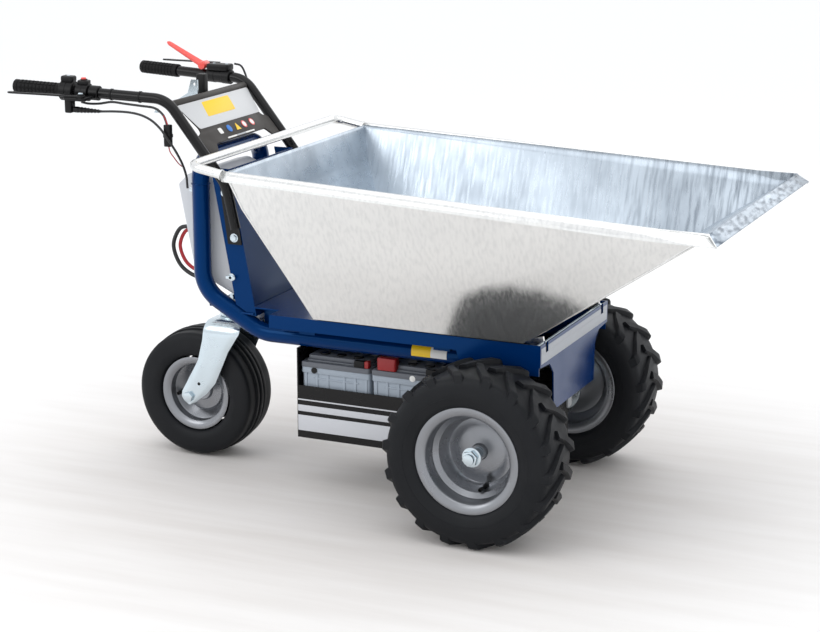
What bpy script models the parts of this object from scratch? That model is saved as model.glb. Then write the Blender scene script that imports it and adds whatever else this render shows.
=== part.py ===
"""Battery power wheelbarrow: a tipping sheet-steel tub on a bent-tube frame, two driven wheels and a caster.

Metres, +Z up, +X the way the tub tips, +Y the operator's left hand. The numbers below are measured
from the ground point under the drive axle; the empty "machine" then moves the whole machine so that
its own origin lies on the ground under the middle of its length.
"""

import math

import bmesh
import bpy
import numpy as np
from mathutils import Matrix, Vector

# Place of the drive axle along the finished part, and the small gap left between neighbours.
AXLE_X = 0.35245
GAP = 0.0003
SHEET = 0.003

# Drive wheels
DRIVE_R = 0.203
DRIVE_Y = 0.320
DRIVE_HALF_SECTION = 0.082
DRIVE_FLANGE_R = 0.1215
DRIVE_BEAD_R = 0.1016
DRIVE_FLANGE_Y = 0.070
SHAFT_R = 0.0125

# Caster
CASTER_X = -0.8686
CASTER_R = 0.1605
CASTER_HALF_SECTION = 0.064
CASTER_FLANGE_R = 0.0926
CASTER_BEAD_R = 0.0762
CASTER_FLANGE_Y = 0.055
SWIVEL_X = -0.785
CROWN_Z = 0.356
FORK_THICK = 0.006
FORK_HALF = 0.0812
RACE_TOP = 0.3882

# Bent-tube frame
FRAME_R = 0.0212
FRAME_Y = 0.150
COLUMN_X = -0.782
HOOP_Z = 0.776
RAIL_Z = 0.368
RAIL_FRONT_X = 0.050

# Chassis box
BED_TOP = 0.433
SIDE_Y = 0.2253
SIDE_TOP = 0.434
SIDE_BOTTOM = 0.364
STRIP_BOTTOM = 0.403
STEP_X = -0.094
SIDE_REAR_X = -0.566
FRONT_X = 0.1045

# Bulkhead, leaning back from its foot
BULK_FOOT = (-0.634, 0.408)
BULK_TOP = (-0.6985, 0.756)
BULK_HALF = 0.160
BULK_FLANGE = 0.050

# Tub
TUB_BOTTOM_Z = 0.4378
TUB_BOTTOM_Y = 0.232
TUB_REAR_X = -0.447
TUB_FRONT_X = 0.068
KNEE = (-0.573, 0.329, 0.704)
RIM_REAR = (-0.597, 0.359, 0.790)
LIP = (0.516, 0.364, 0.7455)
LIP_EDGE = (0.5385, 0.385, 0.7266)
RIM_EDGE = (-0.597, 0.380, 0.779)
TUB_SHEET = 0.0025
TUB_BAR_R = 0.0105
TUB_BAR_X = -0.684
TUB_BAR_Y = 0.368
TUB_BAR_Z = 0.800
HINGE = (0.094, 0.424)
LUG_Y = 0.185
LUG_HALF = 0.004

# Batteries and their tray
TRAY_X = (-0.522, -0.147)
TRAY_Y = 0.172
TRAY_Z = (0.128, 0.3465)
TRAY_WINDOW_Z = 0.256
BATTERY_X = ((-0.5145, -0.3365), (-0.3320, -0.1540))
BATTERY_Y = 0.1665
BATTERY_TOP = 0.331

# Handlebars: foot on its bracket, bend, elbow and the ends of the two bars
BAR_R = 0.0125
BAR_Y = 0.190
BAR_PATH = ((-0.669, 0.622), (-0.692, 0.724), (-0.845, 0.9147))
SPLAY = 0.085
RISE = 0.034
THROTTLE_END_X = -1.229
LEFT_END_X = -1.146
GRIP_R = 0.0165

# Dash: the middle of its top edge and how far it slopes down towards the tub
DASH_TOP = (-0.838, 0.905)
DASH_DOWN = (0.658, -0.753)
DASH_THICK = 0.004


def clear_scene():
    for obj in list(bpy.data.objects):
        bpy.data.objects.remove(obj, do_unlink=True)


def new_collection(name):
    found = bpy.data.collections.new(name)
    bpy.context.scene.collection.children.link(found)
    return found


clear_scene()
PARTS = new_collection("power_wheelbarrow")
CUTTERS = new_collection("cutters")
MACHINE = bpy.data.objects.new("machine", None)
PARTS.objects.link(MACHINE)
MACHINE.location = (AXLE_X, 0, 0)


def material(name, colour, roughness, metallic=0.0):
    made = bpy.data.materials.new(name)
    made.use_nodes = True
    shader = made.node_tree.nodes["Principled BSDF"]
    shader.inputs["Base Color"].default_value = (*colour, 1)
    shader.inputs["Roughness"].default_value = roughness
    shader.inputs["Metallic"].default_value = metallic
    return made


BLUE = material("blue_paint", (0.003, 0.016, 0.110), 0.25)
GALVANISED = material("galvanised_steel", (0.66, 0.67, 0.68), 0.38, 1.0)
ZINC = material("zinc_plate", (0.60, 0.66, 0.70), 0.25, 1.0)
RIM_GREY = material("rim_silver", (0.22, 0.23, 0.25), 0.35, 0.6)
TYRE = material("tyre_rubber", (0.014, 0.015, 0.017), 0.75)
BLACK = material("black_plastic", (0.012, 0.012, 0.013), 0.5)
BLACK_PAINT = material("black_paint", (0.010, 0.010, 0.011), 0.3)
GREY_COVER = material("grey_cover", (0.45, 0.48, 0.52), 0.5)
DASH = material("dash_plastic", (0.045, 0.041, 0.038), 0.6)
RED = material("red_plastic", (0.80, 0.085, 0.065), 0.4)
BATTERY = material("battery_case", (0.34, 0.38, 0.43), 0.45)
CAST = material("cast_housing", (0.30, 0.31, 0.32), 0.5, 0.7)
CABLE = material("cable_black", (0.010, 0.010, 0.010), 0.5)
CABLE_RED = material("cable_red", (0.30, 0.01, 0.02), 0.45)


def own(obj, name, finish):
    """Names an object, gives it its material and hangs it on the machine."""
    obj.name = name
    for collection in list(obj.users_collection):
        collection.objects.unlink(obj)
    PARTS.objects.link(obj)
    obj.parent = MACHINE
    obj.data.materials.clear()
    obj.data.materials.append(finish)
    if obj.type == "MESH":
        obj.data.shade_smooth()
        obj.data.set_sharp_from_angle(angle=math.radians(35))
    return obj


def from_bmesh(shape, name):
    mesh = bpy.data.meshes.new(name)
    bmesh.ops.recalc_face_normals(shape, faces=shape.faces)
    shape.to_mesh(mesh)
    shape.free()
    obj = bpy.data.objects.new(name, mesh)
    PARTS.objects.link(obj)
    return obj


def box_mesh(low, high, bevel=0.0):
    """A bmesh box between two corners, its edges rounded by one step where bevel is given."""
    low, high = np.array(low, float), np.array(high, float)
    shape = bmesh.new()
    bmesh.ops.create_cube(shape, size=1.0)
    bmesh.ops.scale(shape, vec=Vector(high - low), verts=shape.verts)
    bmesh.ops.translate(shape, vec=Vector((low + high) / 2), verts=shape.verts)
    if bevel:
        bmesh.ops.bevel(shape, geom=shape.edges[:], offset=bevel, segments=2, profile=0.5, affect="EDGES")
    return shape


def box(name, low, high, finish, bevel=0.0):
    return own(from_bmesh(box_mesh(low, high, bevel), name), name, finish)


def cylinder_mesh(start, end, radius, sides=24, end_radius=None):
    start, end = Vector(start), Vector(end)
    shape = bmesh.new()
    along = end - start
    turn = along.to_track_quat("Z", "Y").to_matrix().to_4x4()
    bmesh.ops.create_cone(
        shape,
        cap_ends=True,
        segments=sides,
        radius1=radius,
        radius2=radius if end_radius is None else end_radius,
        depth=along.length,
        matrix=Matrix.Translation((start + end) / 2) @ turn,
    )
    return shape


def cylinder(name, start, end, radius, finish, sides=24, end_radius=None):
    return own(from_bmesh(cylinder_mesh(start, end, radius, sides, end_radius), name), name, finish)


def helper(shape, name):
    """A hidden helper for a Boolean, hung on the machine like the piece that it cuts or joins."""
    obj = from_bmesh(shape, name)
    PARTS.objects.unlink(obj)
    CUTTERS.objects.link(obj)
    obj.parent = MACHINE
    obj.hide_render = True
    obj.display_type = "WIRE"
    return obj


def boolean(obj, shape, operation, label):
    modifier = obj.modifiers.new(label, "BOOLEAN")
    modifier.operation = operation
    modifier.object = helper(shape, f"{obj.name}_{label}")
    return obj


def cut(obj, shape, label):
    return boolean(obj, shape, "DIFFERENCE", label)


def join(obj, shape, label):
    return boolean(obj, shape, "UNION", label)


def clockwise(points):
    """The closed loop of (x, 0, z) points in the order that turns to a solid facing outwards."""
    loop = list(points)
    area = sum(a[0] * b[2] - b[0] * a[2] for a, b in zip(loop, loop[1:] + loop[:1]))
    return loop if area < 0 else loop[::-1]


def turned(name, profile, finish, centre, outward=1, steps=40, upright=False):
    """A closed profile of (radius, offset) turned round the Y axis through centre, or round Z where upright.

    outward is the side that positive offsets point to.
    """
    points = clockwise([(radius, 0.0, outward * offset) for radius, offset in profile])
    count = len(points)
    mesh = bpy.data.meshes.new(name)
    mesh.from_pydata(points, [(i, (i + 1) % count) for i in range(count)], [])
    obj = own(bpy.data.objects.new(name, mesh), name, finish)
    screw = obj.modifiers.new("turn", "SCREW")
    screw.axis = "Z"
    screw.steps = steps
    screw.render_steps = steps
    screw.use_merge_vertices = True
    screw.merge_threshold = 0.00001
    obj.location = centre
    if not upright:
        obj.rotation_euler = (-math.pi / 2, 0, 0)
    return obj


def curve_object(name, finish, splines, closed, dimensions):
    data = bpy.data.curves.new(name, "CURVE")
    data.dimensions = dimensions
    for points in splines:
        spline = data.splines.new("POLY")
        spline.points.add(len(points) - 1)
        for slot, point in zip(spline.points, points):
            slot.co = (*point, 1) if len(point) == 3 else (*point, 0, 1)
        spline.use_cyclic_u = closed
    obj = bpy.data.objects.new(name, data)
    PARTS.objects.link(obj)
    obj.parent = MACHINE
    data.materials.append(finish)
    return obj


def tube(name, points, radius, finish, resolution=3):
    """A round tube along points, with filled ends."""
    obj = curve_object(name, finish, [points], False, "3D")
    obj.data.bevel_depth = radius
    obj.data.bevel_resolution = resolution
    obj.data.use_fill_caps = True
    return obj


def plate(name, outlines, thickness, finish, centre, plane):
    """A flat plate: outlines in its own plane, the first the edge and the others holes."""
    obj = curve_object(name, finish, outlines, True, "2D")
    obj.data.fill_mode = "BOTH"
    obj.data.extrude = thickness / 2
    obj.location = centre
    obj.rotation_euler = {"XZ": (math.pi / 2, 0, 0), "YZ": (math.pi / 2, 0, math.pi / 2), "XY": (0, 0, 0)}[plane]
    return obj


def as_mesh(obj):
    """The curve's solid as a mesh object, so that it can be cut or joined."""
    graph = bpy.context.evaluated_depsgraph_get()
    bpy.context.view_layer.update()
    mesh = bpy.data.meshes.new_from_object(obj.evaluated_get(graph))
    shape = bmesh.new()
    shape.from_mesh(mesh)
    bmesh.ops.remove_doubles(shape, verts=shape.verts, dist=0.00001)
    bmesh.ops.recalc_face_normals(shape, faces=shape.faces)
    shape.to_mesh(mesh)
    shape.free()
    made = bpy.data.objects.new(obj.name + "_mesh", mesh)
    PARTS.objects.link(made)
    finish = obj.data.materials[0]
    name = obj.name
    matrix = obj.matrix_world.copy()
    bpy.data.objects.remove(obj, do_unlink=True)
    own(made, name, finish)
    bpy.context.view_layer.update()
    made.matrix_world = matrix
    return made


def rounded(corners, radii, step=math.radians(15)):
    """The polyline through corners with each inner corner turned into an arc of its own radius."""
    points = [Vector(corners[0])]
    for before, corner, after, radius in zip(corners, corners[1:], corners[2:], radii):
        before, corner, after = Vector(before), Vector(corner), Vector(after)
        back = (before - corner).normalized()
        ahead = (after - corner).normalized()
        half = back.angle(ahead) / 2
        reach = radius / math.tan(half)
        middle = corner + (back + ahead).normalized() * (radius / math.sin(half))
        first = corner + back * reach - middle
        last = corner + ahead * reach - middle
        count = max(2, math.ceil(first.angle(last) / step))
        normal = first.cross(last).normalized()
        for index in range(count + 1):
            points.append(middle + Matrix.Rotation(first.angle(last) * index / count, 3, normal) @ first)
    points.append(Vector(corners[-1]))
    return points


def smooth_route(points, spacing):
    """Evenly spaced points on the Catmull-Rom curve through the route's own points."""
    knots = np.array([2 * np.array(points[0]) - points[1], *points, 2 * np.array(points[-1]) - points[-2]], float)
    dense = []
    for p0, p1, p2, p3 in zip(knots, knots[1:], knots[2:], knots[3:]):
        for t in np.linspace(0, 1, 20, endpoint=False):
            dense.append(0.5 * (2 * p1 + (p2 - p0) * t + (2 * p0 - 5 * p1 + 4 * p2 - p3) * t**2
                                + (3 * p1 - p0 - 3 * p2 + p3) * t**3))
    dense.append(knots[-2])
    dense = np.array(dense)
    run = np.concatenate([[0], np.cumsum(np.linalg.norm(np.diff(dense, axis=0), axis=1))])
    count = max(4, int(run[-1] / spacing)) + 1
    return [Vector([np.interp(s, run, dense[:, k]) for k in range(3)]) for s in np.linspace(0, run[-1], count)]


def circle(centre, radius, count=24):
    angles = np.linspace(0, 2 * math.pi, count, endpoint=False)
    return [(centre[0] + radius * math.cos(a), centre[1] + radius * math.sin(a)) for a in angles]


SIDES = (("left", 1), ("right", -1))


def build_frame():
    """Two bent side tubes and the hoop that joins them at the top."""
    path = [
        (COLUMN_X, HOOP_Z - 0.062),
        (COLUMN_X, 0.459),
        (-0.624, RAIL_Z),
        (RAIL_FRONT_X, RAIL_Z),
    ]
    for side, sign in SIDES:
        corners = [(x, sign * FRAME_Y, z) for x, z in path]
        tube(f"frame_tube_{side}", rounded(corners, (0.080, 0.110)), FRAME_R, BLUE)
    foot = HOOP_Z - 0.062 + GAP
    hoop = [
        (COLUMN_X, -FRAME_Y, foot),
        (COLUMN_X, -FRAME_Y, HOOP_Z),
        (COLUMN_X, FRAME_Y, HOOP_Z),
        (COLUMN_X, FRAME_Y, foot),
    ]
    tube("frame_hoop", rounded(hoop, (0.055, 0.055)), FRAME_R, BLUE)


def bulk_x(z):
    """How far forward the bulkhead's face stands at height z."""
    (x0, z0), (x1, z1) = BULK_FOOT, BULK_TOP
    return x0 + (x1 - x0) * (z - z0) / (z1 - z0)


def build_bulkhead():
    """One folded sheet: a face across the machine and a flange back along each side."""
    foot, top = BULK_FOOT, BULK_TOP
    back = BULK_FLANGE
    rows = []
    for x, z in (foot, top):
        rows.append([(x - back, -BULK_HALF, z), (x, -BULK_HALF, z), (x, BULK_HALF, z), (x - back, BULK_HALF, z)])
    shape = bmesh.new()
    verts = [[shape.verts.new(p) for p in row] for row in rows]
    for i in range(3):
        shape.faces.new((verts[0][i], verts[0][i + 1], verts[1][i + 1], verts[1][i]))
    mesh = bpy.data.meshes.new("bulkhead")
    shape.to_mesh(mesh)
    shape.free()
    obj = own(bpy.data.objects.new("bulkhead", mesh), "bulkhead", BLUE)
    wall = obj.modifiers.new("sheet", "SOLIDIFY")
    wall.thickness = SHEET
    wall.offset = -1
    wall.use_even_offset = True
    for side, sign in SIDES:
        y = sign * FRAME_Y
        cut(obj, cylinder_mesh((-0.800, y, 0.4692), (-0.590, y, 0.3483), FRAME_R + 0.004), f"tube_{side}")


def build_chassis():
    outline = [
        (SIDE_REAR_X, STRIP_BOTTOM),
        (STEP_X, STRIP_BOTTOM),
        (STEP_X + 0.012, SIDE_BOTTOM),
        (FRONT_X - GAP, SIDE_BOTTOM),
        (FRONT_X - GAP, SIDE_TOP),
        (SIDE_REAR_X, SIDE_TOP),
    ]
    for side, sign in SIDES:
        plate(f"side_member_{side}", [outline], SHEET, BLUE, (0, sign * (SIDE_Y - SHEET / 2), 0), "XZ")
    band, stem = 0.383, 0.263
    edge = [
        (-SIDE_Y, SIDE_TOP), (-SIDE_Y, band), (-0.165, band - 0.004), (-0.140, band - 0.030), (-0.134, stem),
        (0.134, stem), (0.140, band - 0.030), (0.165, band - 0.004), (SIDE_Y, band), (SIDE_Y, SIDE_TOP),
    ]
    front = as_mesh(plate("front_plate", [edge], SHEET, BLUE, (FRONT_X + SHEET / 2, 0, 0), "YZ"))
    for side, sign in SIDES:
        y = sign * LUG_Y
        cut(front, box_mesh((FRONT_X - 0.01, y - 0.008, SIDE_TOP - 0.022), (FRONT_X + 0.02, y + 0.008, SIDE_TOP + 0.01)),
            f"notch_{side}")
    inner = SIDE_Y - SHEET - GAP
    bed = box("bed_plate", (-0.566, -inner, BED_TOP - SHEET), (0.030, inner, BED_TOP), BLUE)
    join(bed, box_mesh((-0.636, -0.172, BED_TOP - SHEET), (-0.560, 0.172, BED_TOP)), "tongue")
    for label, x in (("rear_beam", -0.480), ("front_beam", -0.140)):
        low = RAIL_Z + FRAME_R + GAP
        join(bed, box_mesh((x - 0.020, -0.200, low), (x + 0.020, 0.200, BED_TOP - SHEET / 2)), label)
    for side, sign in SIDES:
        y = sorted((sign * 0.1225, sign * 0.1283))
        join(bed, box_mesh((-0.630, y[0], 0.376), (-0.490, y[1], BED_TOP - SHEET / 2)), f"skirt_{side}")
    build_caster_bracket()


def build_caster_bracket():
    """The plate that carries the swivel, with a web up the inside of each frame tube."""
    half = FRAME_Y - FRAME_R - 0.001
    low = RACE_TOP + GAP
    base = box("caster_bracket", (-0.735, -half, low), (-0.640, half, low + 0.006), BLUE)
    join(base, box_mesh((-0.824, -0.050, low), (-0.730, 0.050, low + 0.006)), "ear")
    for side, sign in SIDES:
        y = sorted((sign * half, sign * (half - 0.006)))
        join(base, box_mesh((-0.733, y[0], low + 0.003), (-0.690, y[1], 0.432)), f"web_{side}")
    cut(base, cylinder_mesh((SWIVEL_X, 0, low - 0.01), (SWIVEL_X, 0, low + 0.02), 0.0084), "bore")


def build_column_cover():
    """The grey cover behind the column, open towards the bulkhead, and the motor controller in it."""
    outline = [(-0.822, 0.492), (-0.862, 0.701), (-0.834, 0.728), (-0.800, 0.736), (-0.7075, 0.700), (-0.7035, 0.437)]
    half = 0.1205
    cover = as_mesh(plate("rear_cover", [outline], 2 * half, GREY_COVER, (0, 0, 0), "XZ"))
    cover.modifiers.new("bevel", "BEVEL").width = 0.004
    inside = [(-0.818, 0.495), (-0.858, 0.700), (-0.832, 0.725), (-0.800, 0.732), (-0.712, 0.697), (-0.640, 0.697),
              (-0.640, 0.445), (-0.708, 0.443)]
    hollow = as_mesh(plate("cover_hollow", [inside], 2 * half - 0.006, GREY_COVER, (0, 0, 0), "XZ"))
    PARTS.objects.unlink(hollow)
    CUTTERS.objects.link(hollow)
    hollow.hide_render = True
    hollow.display_type = "WIRE"
    modifier = cover.modifiers.new("hollow", "BOOLEAN")
    modifier.operation = "DIFFERENCE"
    modifier.object = hollow
    box("motor_controller", (-0.812, -0.085, 0.530), (-0.745, 0.085, 0.690), CAST, 0.004)


def tub_skin():
    """The tub's outside as flat panels folded from sheet: (x, y, z) corners and the panels between them."""
    half = [
        (TUB_REAR_X, TUB_BOTTOM_Y, TUB_BOTTOM_Z),
        (TUB_FRONT_X, TUB_BOTTOM_Y, TUB_BOTTOM_Z),
        KNEE,
        RIM_REAR,
        LIP,
        RIM_EDGE,
        LIP_EDGE,
    ]
    rear, front, knee, rim, lip, rim_edge, lip_edge = range(7)
    side = [(rear, front, lip), (rear, lip, rim, knee), (rim, lip, lip_edge, rim_edge)]
    across = [(rear, front), (knee, rear), (rim, knee), (front, lip), (lip, lip_edge)]
    points = half + [(x, -y, z) for x, y, z in half]
    count = len(half)
    faces = [tuple(face) for face in side]
    faces += [tuple(i + count for i in reversed(face)) for face in side]
    faces += [(a, a + count, b + count, b) for a, b in across]
    return points, faces


def build_tub():
    points, faces = tub_skin()
    shape = bmesh.new()
    verts = [shape.verts.new(p) for p in points]
    for face in faces:
        shape.faces.new([verts[i] for i in face])
    bmesh.ops.triangulate(shape, faces=shape.faces[:])
    bmesh.ops.recalc_face_normals(shape, faces=shape.faces)
    bottom = min(shape.faces, key=lambda face: face.calc_center_median().z)
    if bottom.normal.z > 0:
        bmesh.ops.reverse_faces(shape, faces=shape.faces)
    mesh = bpy.data.meshes.new("tub")
    shape.to_mesh(mesh)
    shape.free()
    obj = own(bpy.data.objects.new("tub", mesh), "tub", GALVANISED)
    wall = obj.modifiers.new("sheet", "SOLIDIFY")
    wall.thickness = TUB_SHEET
    wall.offset = -1
    wall.use_even_offset = True
    start = RIM_REAR[0] - 0.0035
    y0 = RIM_EDGE[1] - TUB_BAR_R - 0.002
    corners = [(start, -y0, 0.785), (TUB_BAR_X, -TUB_BAR_Y, TUB_BAR_Z), (TUB_BAR_X, TUB_BAR_Y, TUB_BAR_Z), (start, y0, 0.785)]
    tube("tub_handle_bar", rounded(corners, (0.030, 0.030)), TUB_BAR_R, GALVANISED)
    x, z = HINGE
    for side, sign in SIDES:
        y = sign * LUG_Y
        outline = [(x - 0.010, z - 0.009), (x + 0.006, z - 0.009), (x + 0.009, z), (x + 0.0045, z + 0.0215),
                   (TUB_FRONT_X - 0.003, TUB_BOTTOM_Z - 0.001), (TUB_FRONT_X - 0.030, TUB_BOTTOM_Z - 0.001)]
        plate(f"hinge_lug_{side}", [outline, circle(HINGE, 0.006, 16)], 2 * LUG_HALF, GALVANISED, (0, y, 0), "XZ")
    inner = SIDE_Y - SHEET - GAP
    cylinder("hinge_pin", (x, -inner, z), (x, inner, z), 0.0057, ZINC, 16)


def build_batteries():
    x0, x1 = TRAY_X
    z0, z1 = TRAY_Z
    tray = box("battery_tray", (x0, -TRAY_Y, z0), (x1, TRAY_Y, z1), BLACK_PAINT)
    wall = 0.003
    cut(tray, box_mesh((x0 + wall, -TRAY_Y + wall, z0 + wall), (x1 - wall, TRAY_Y - wall, z1 + 0.01)), "hollow")
    cut(tray, box_mesh((x0 + wall, -TRAY_Y - 0.01, TRAY_WINDOW_Z), (x1 - wall, TRAY_Y + 0.01, z1 + 0.01)), "window")
    for name, (low, high) in zip(("battery_rear", "battery_front"), BATTERY_X):
        base = z0 + wall + GAP
        battery = box(name, (low, -BATTERY_Y + 0.004, base), (high, BATTERY_Y - 0.004, 0.305), BATTERY, 0.003)
        join(battery, box_mesh((low, -BATTERY_Y, 0.300), (high, BATTERY_Y, 0.314), 0.002), "lid")
        join(battery, box_mesh((low + 0.012, -0.150, 0.312), (high - 0.012, -0.060, BATTERY_TOP), 0.002), "near_top")
        join(battery, box_mesh((low + 0.012, 0.060, 0.312), (high - 0.012, 0.150, BATTERY_TOP), 0.002), "far_top")


def build_drive():
    """Gearbox with the differential and its axle tubes, the electric motor beside it, and a shaft to each wheel."""
    z = DRIVE_R
    gearbox = box("transaxle", (-0.055, -0.048, 0.140), (0.080, 0.048, 0.330), CAST, 0.010)
    join(gearbox, cylinder_mesh((0, -0.205, z), (0, 0.205, z), 0.030), "axle_tubes")
    join(gearbox, box_mesh((-0.040, -0.170, 0.325), (0.040, 0.170, RAIL_Z - FRAME_R - GAP)), "mount")
    cut(gearbox, cylinder_mesh((0, -0.30, z), (0, -0.06, z), SHAFT_R + 0.0005), "bore_right")
    cut(gearbox, cylinder_mesh((0, 0.06, z), (0, 0.30, z), SHAFT_R + 0.0005), "bore_left")
    cylinder("drive_motor", (-0.095, -0.150, 0.270), (-0.095, 0.060, 0.270), 0.0385, BLACK_PAINT, 32)
    for side, sign in SIDES:
        shaft = cylinder(f"wheel_shaft_{side}", (0, sign * 0.070, z), (0, sign * 0.378, z), SHAFT_R, ZINC)
        join(shaft, cylinder_mesh((0, sign * 0.2065, z), (0, sign * 0.216, z), 0.048), "flange")
        nut = cylinder_mesh((0, sign * 0.3545, z), (0, sign * 0.370, z), 0.019, 6)
        join(shaft, nut, "nut")


def rim_profile(bore, bead, flange, flange_y, disc_y):
    """One wheel rim's section as (radius, offset): hub, dished disc, barrel with its drop centre, two flanges."""
    wall = 0.003
    return [
        (flange, flange_y), (flange, flange_y - 0.006), (bead, flange_y - 0.0075), (bead - 0.001, 0.022),
        (bead - 0.014, 0.014), (bead - 0.014, -0.014), (bead - 0.001, -0.022), (bead, -flange_y + 0.0075),
        (flange, -flange_y + 0.006), (flange, -flange_y), (bead - wall, -flange_y + 0.003),
        (bead - 0.004, -0.024), (bead - 0.018, -0.015), (bead - 0.030, disc_y - 0.016), (0.050, disc_y - 0.006),
        (0.034, disc_y - 0.004), (0.030, -0.040), (bore, -0.040), (bore, disc_y + 0.010), (0.030, disc_y + 0.010),
        (0.034, disc_y), (0.052, disc_y - 0.001), (bead - 0.026, disc_y - 0.010), (bead - 0.018, 0.015),
        (bead - 0.004, 0.024), (bead - wall, flange_y - 0.003),
    ]


def deep_rim_profile(bore, bead, flange, flange_y, disc_y):
    """The drive rim's section: a stepped barrel running in to a dished disc set well inside it, and a slim hub."""
    return [
        (flange, flange_y), (flange, flange_y - 0.006), (bead, flange_y - 0.0075), (bead - 0.001, 0.028), (bead - 0.012, 0.020),
        (bead - 0.012, -0.030), (bead - 0.001, -0.038), (bead, -flange_y + 0.0075), (flange, -flange_y + 0.006),
        (flange, -flange_y), (bead - 0.003, -flange_y + 0.003), (bead - 0.005, -0.040), (bead - 0.018, -0.032),
        (bead - 0.022, disc_y - 0.014), (0.062, disc_y - 0.010), (0.050, disc_y - 0.003), (0.026, disc_y - 0.003),
        (0.0225, -0.040), (bore, -0.040), (bore, disc_y + 0.009), (0.0180, disc_y + 0.009), (0.0195, disc_y),
        (0.050, disc_y), (0.066, disc_y - 0.0065), (bead - 0.027, disc_y - 0.007), (bead - 0.0165, 0.004),
        (bead - 0.0155, 0.019), (bead - 0.005, 0.029), (bead - 0.003, flange_y - 0.003),
    ]


def tyre_profile(radius, bead, flange_y, half_section, shoulder):
    """A tyre carcass section as (radius, offset): tread, shoulders, bulging walls, beads, and the air space inside."""
    side = half_section
    mid = (radius + bead) / 2
    outer = [
        (radius, 0.62 * shoulder), (radius - 0.002, 0.90 * shoulder), (radius - 0.007, shoulder), (radius - 0.026, 0.985 * side),
        (mid, side), (bead + 0.026, flange_y + 0.007), (bead + 0.021, flange_y + 0.0005), (bead + 0.0205, flange_y - 0.0085),
        (bead + GAP, flange_y - 0.0085), (bead + GAP, flange_y - 0.020), (bead + 0.020, flange_y - 0.019),
    ]
    inner = [(mid, side - 0.009), (radius - 0.030, 0.86 * side), (radius - 0.017, 0.55 * side)]
    right = outer + inner
    left = [(r, -y) for r, y in reversed(right)]
    return right + left


def build_drive_wheels():
    for side, sign in SIDES:
        centre = (0, sign * DRIVE_Y, DRIVE_R)
        rim = deep_rim_profile(SHAFT_R + GAP, DRIVE_BEAD_R, DRIVE_FLANGE_R, DRIVE_FLANGE_Y, -0.012)
        turned(f"front_rim_{side}", rim, RIM_GREY, centre, sign, 28)
        tyre = tyre_profile(DRIVE_R, DRIVE_BEAD_R, DRIVE_FLANGE_Y, DRIVE_HALF_SECTION, 0.0765)
        turned(f"front_tyre_{side}", tyre, TYRE, centre, sign, 28)


FORK_REAR_EDGE = ((0.140, -0.878), (0.152, -0.890), (0.170, -0.890), (0.200, -0.872), (0.255, -0.842), (0.310, -0.829),
                  (0.333, -0.824))
FORK_FRONT_EDGE = ((0.140, -0.862), (0.152, -0.846), (0.170, -0.822), (0.200, -0.796), (0.255, -0.771), (0.285, -0.758),
                   (0.333, -0.727))


def build_caster():
    """The pressed fork: one strip over the wheel, its width following the two edges down each leg."""
    z_rear, x_rear = zip(*FORK_REAR_EDGE)
    z_front, x_front = zip(*FORK_FRONT_EDGE)
    bend = 0.030
    leg = [(-FORK_HALF, z) for z in np.linspace(0.140, CROWN_Z - bend, 12)]
    arc = [(-FORK_HALF + bend - bend * math.cos(a), CROWN_Z - bend + bend * math.sin(a))
           for a in np.linspace(0, math.pi / 2, 6)[1:]]
    half_path = leg + arc
    path = half_path + [(-y, z) for y, z in reversed(half_path)]
    shape = bmesh.new()
    rows = []
    for y, z in path:
        rear, front = np.interp(z, z_rear, x_rear), np.interp(z, z_front, x_front)
        rows.append([shape.verts.new((x, y, z)) for x in np.linspace(rear, front, 4)])
    for low, high in zip(rows, rows[1:]):
        for i in range(3):
            shape.faces.new((low[i], low[i + 1], high[i + 1], high[i]))
    bmesh.ops.recalc_face_normals(shape, faces=shape.faces)
    crown = max(shape.faces, key=lambda face: face.calc_center_median().z)
    if crown.normal.z < 0:
        bmesh.ops.reverse_faces(shape, faces=shape.faces)
    mesh = bpy.data.meshes.new("caster_fork")
    shape.to_mesh(mesh)
    shape.free()
    fork = own(bpy.data.objects.new("caster_fork", mesh), "caster_fork", ZINC)
    wall = fork.modifiers.new("sheet", "SOLIDIFY")
    wall.thickness = FORK_THICK
    wall.offset = 0
    wall.use_even_offset = True
    join(fork, cylinder_mesh((SWIVEL_X, 0, CROWN_Z), (SWIVEL_X, 0, 0.412), 0.008), "kingpin")
    cut(fork, cylinder_mesh((CASTER_X, -0.1, CASTER_R), (CASTER_X, 0.1, CASTER_R), 0.0084), "axle_bore")
    race = [(0.0085, 0), (0.034, 0), (0.034, 0.012), (0.030, 0.015), (0.030, 0.0285), (0.0085, 0.0285)]
    turned("swivel_race", race, ZINC, (SWIVEL_X, 0, CROWN_Z + FORK_THICK / 2 + GAP), 1, 28, upright=True)
    bolt = cylinder("caster_axle", (CASTER_X, -0.0885, CASTER_R), (CASTER_X, 0.0885, CASTER_R), 0.008, ZINC)
    for side, sign in SIDES:
        head = cylinder_mesh((CASTER_X, sign * (FORK_HALF + FORK_THICK / 2 + GAP), CASTER_R),
                             (CASTER_X, sign * 0.0935, CASTER_R), 0.0135, 6)
        join(bolt, head, f"head_{side}")
    centre = (CASTER_X, 0, CASTER_R)
    turned("caster_rim", rim_profile(0.0083, CASTER_BEAD_R, CASTER_FLANGE_R, CASTER_FLANGE_Y, 0.012), RIM_GREY, centre, -1, 24)
    tyre = tyre_profile(CASTER_R, CASTER_BEAD_R, CASTER_FLANGE_Y, CASTER_HALF_SECTION, 0.050)
    turned("caster_tyre", tyre, TYRE, centre, -1, 24)


def bar_point(x, sign):
    """A point on the level part of a handlebar's axis."""
    elbow_x, elbow_z = BAR_PATH[-1]
    run = elbow_x - x
    return Vector((x, sign * (BAR_Y + SPLAY * run), elbow_z + RISE * run))


def along_bar(sign, x0, x1, radius, sides=20):
    return cylinder_mesh(bar_point(x0, sign), bar_point(x1, sign), radius, sides)


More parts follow.
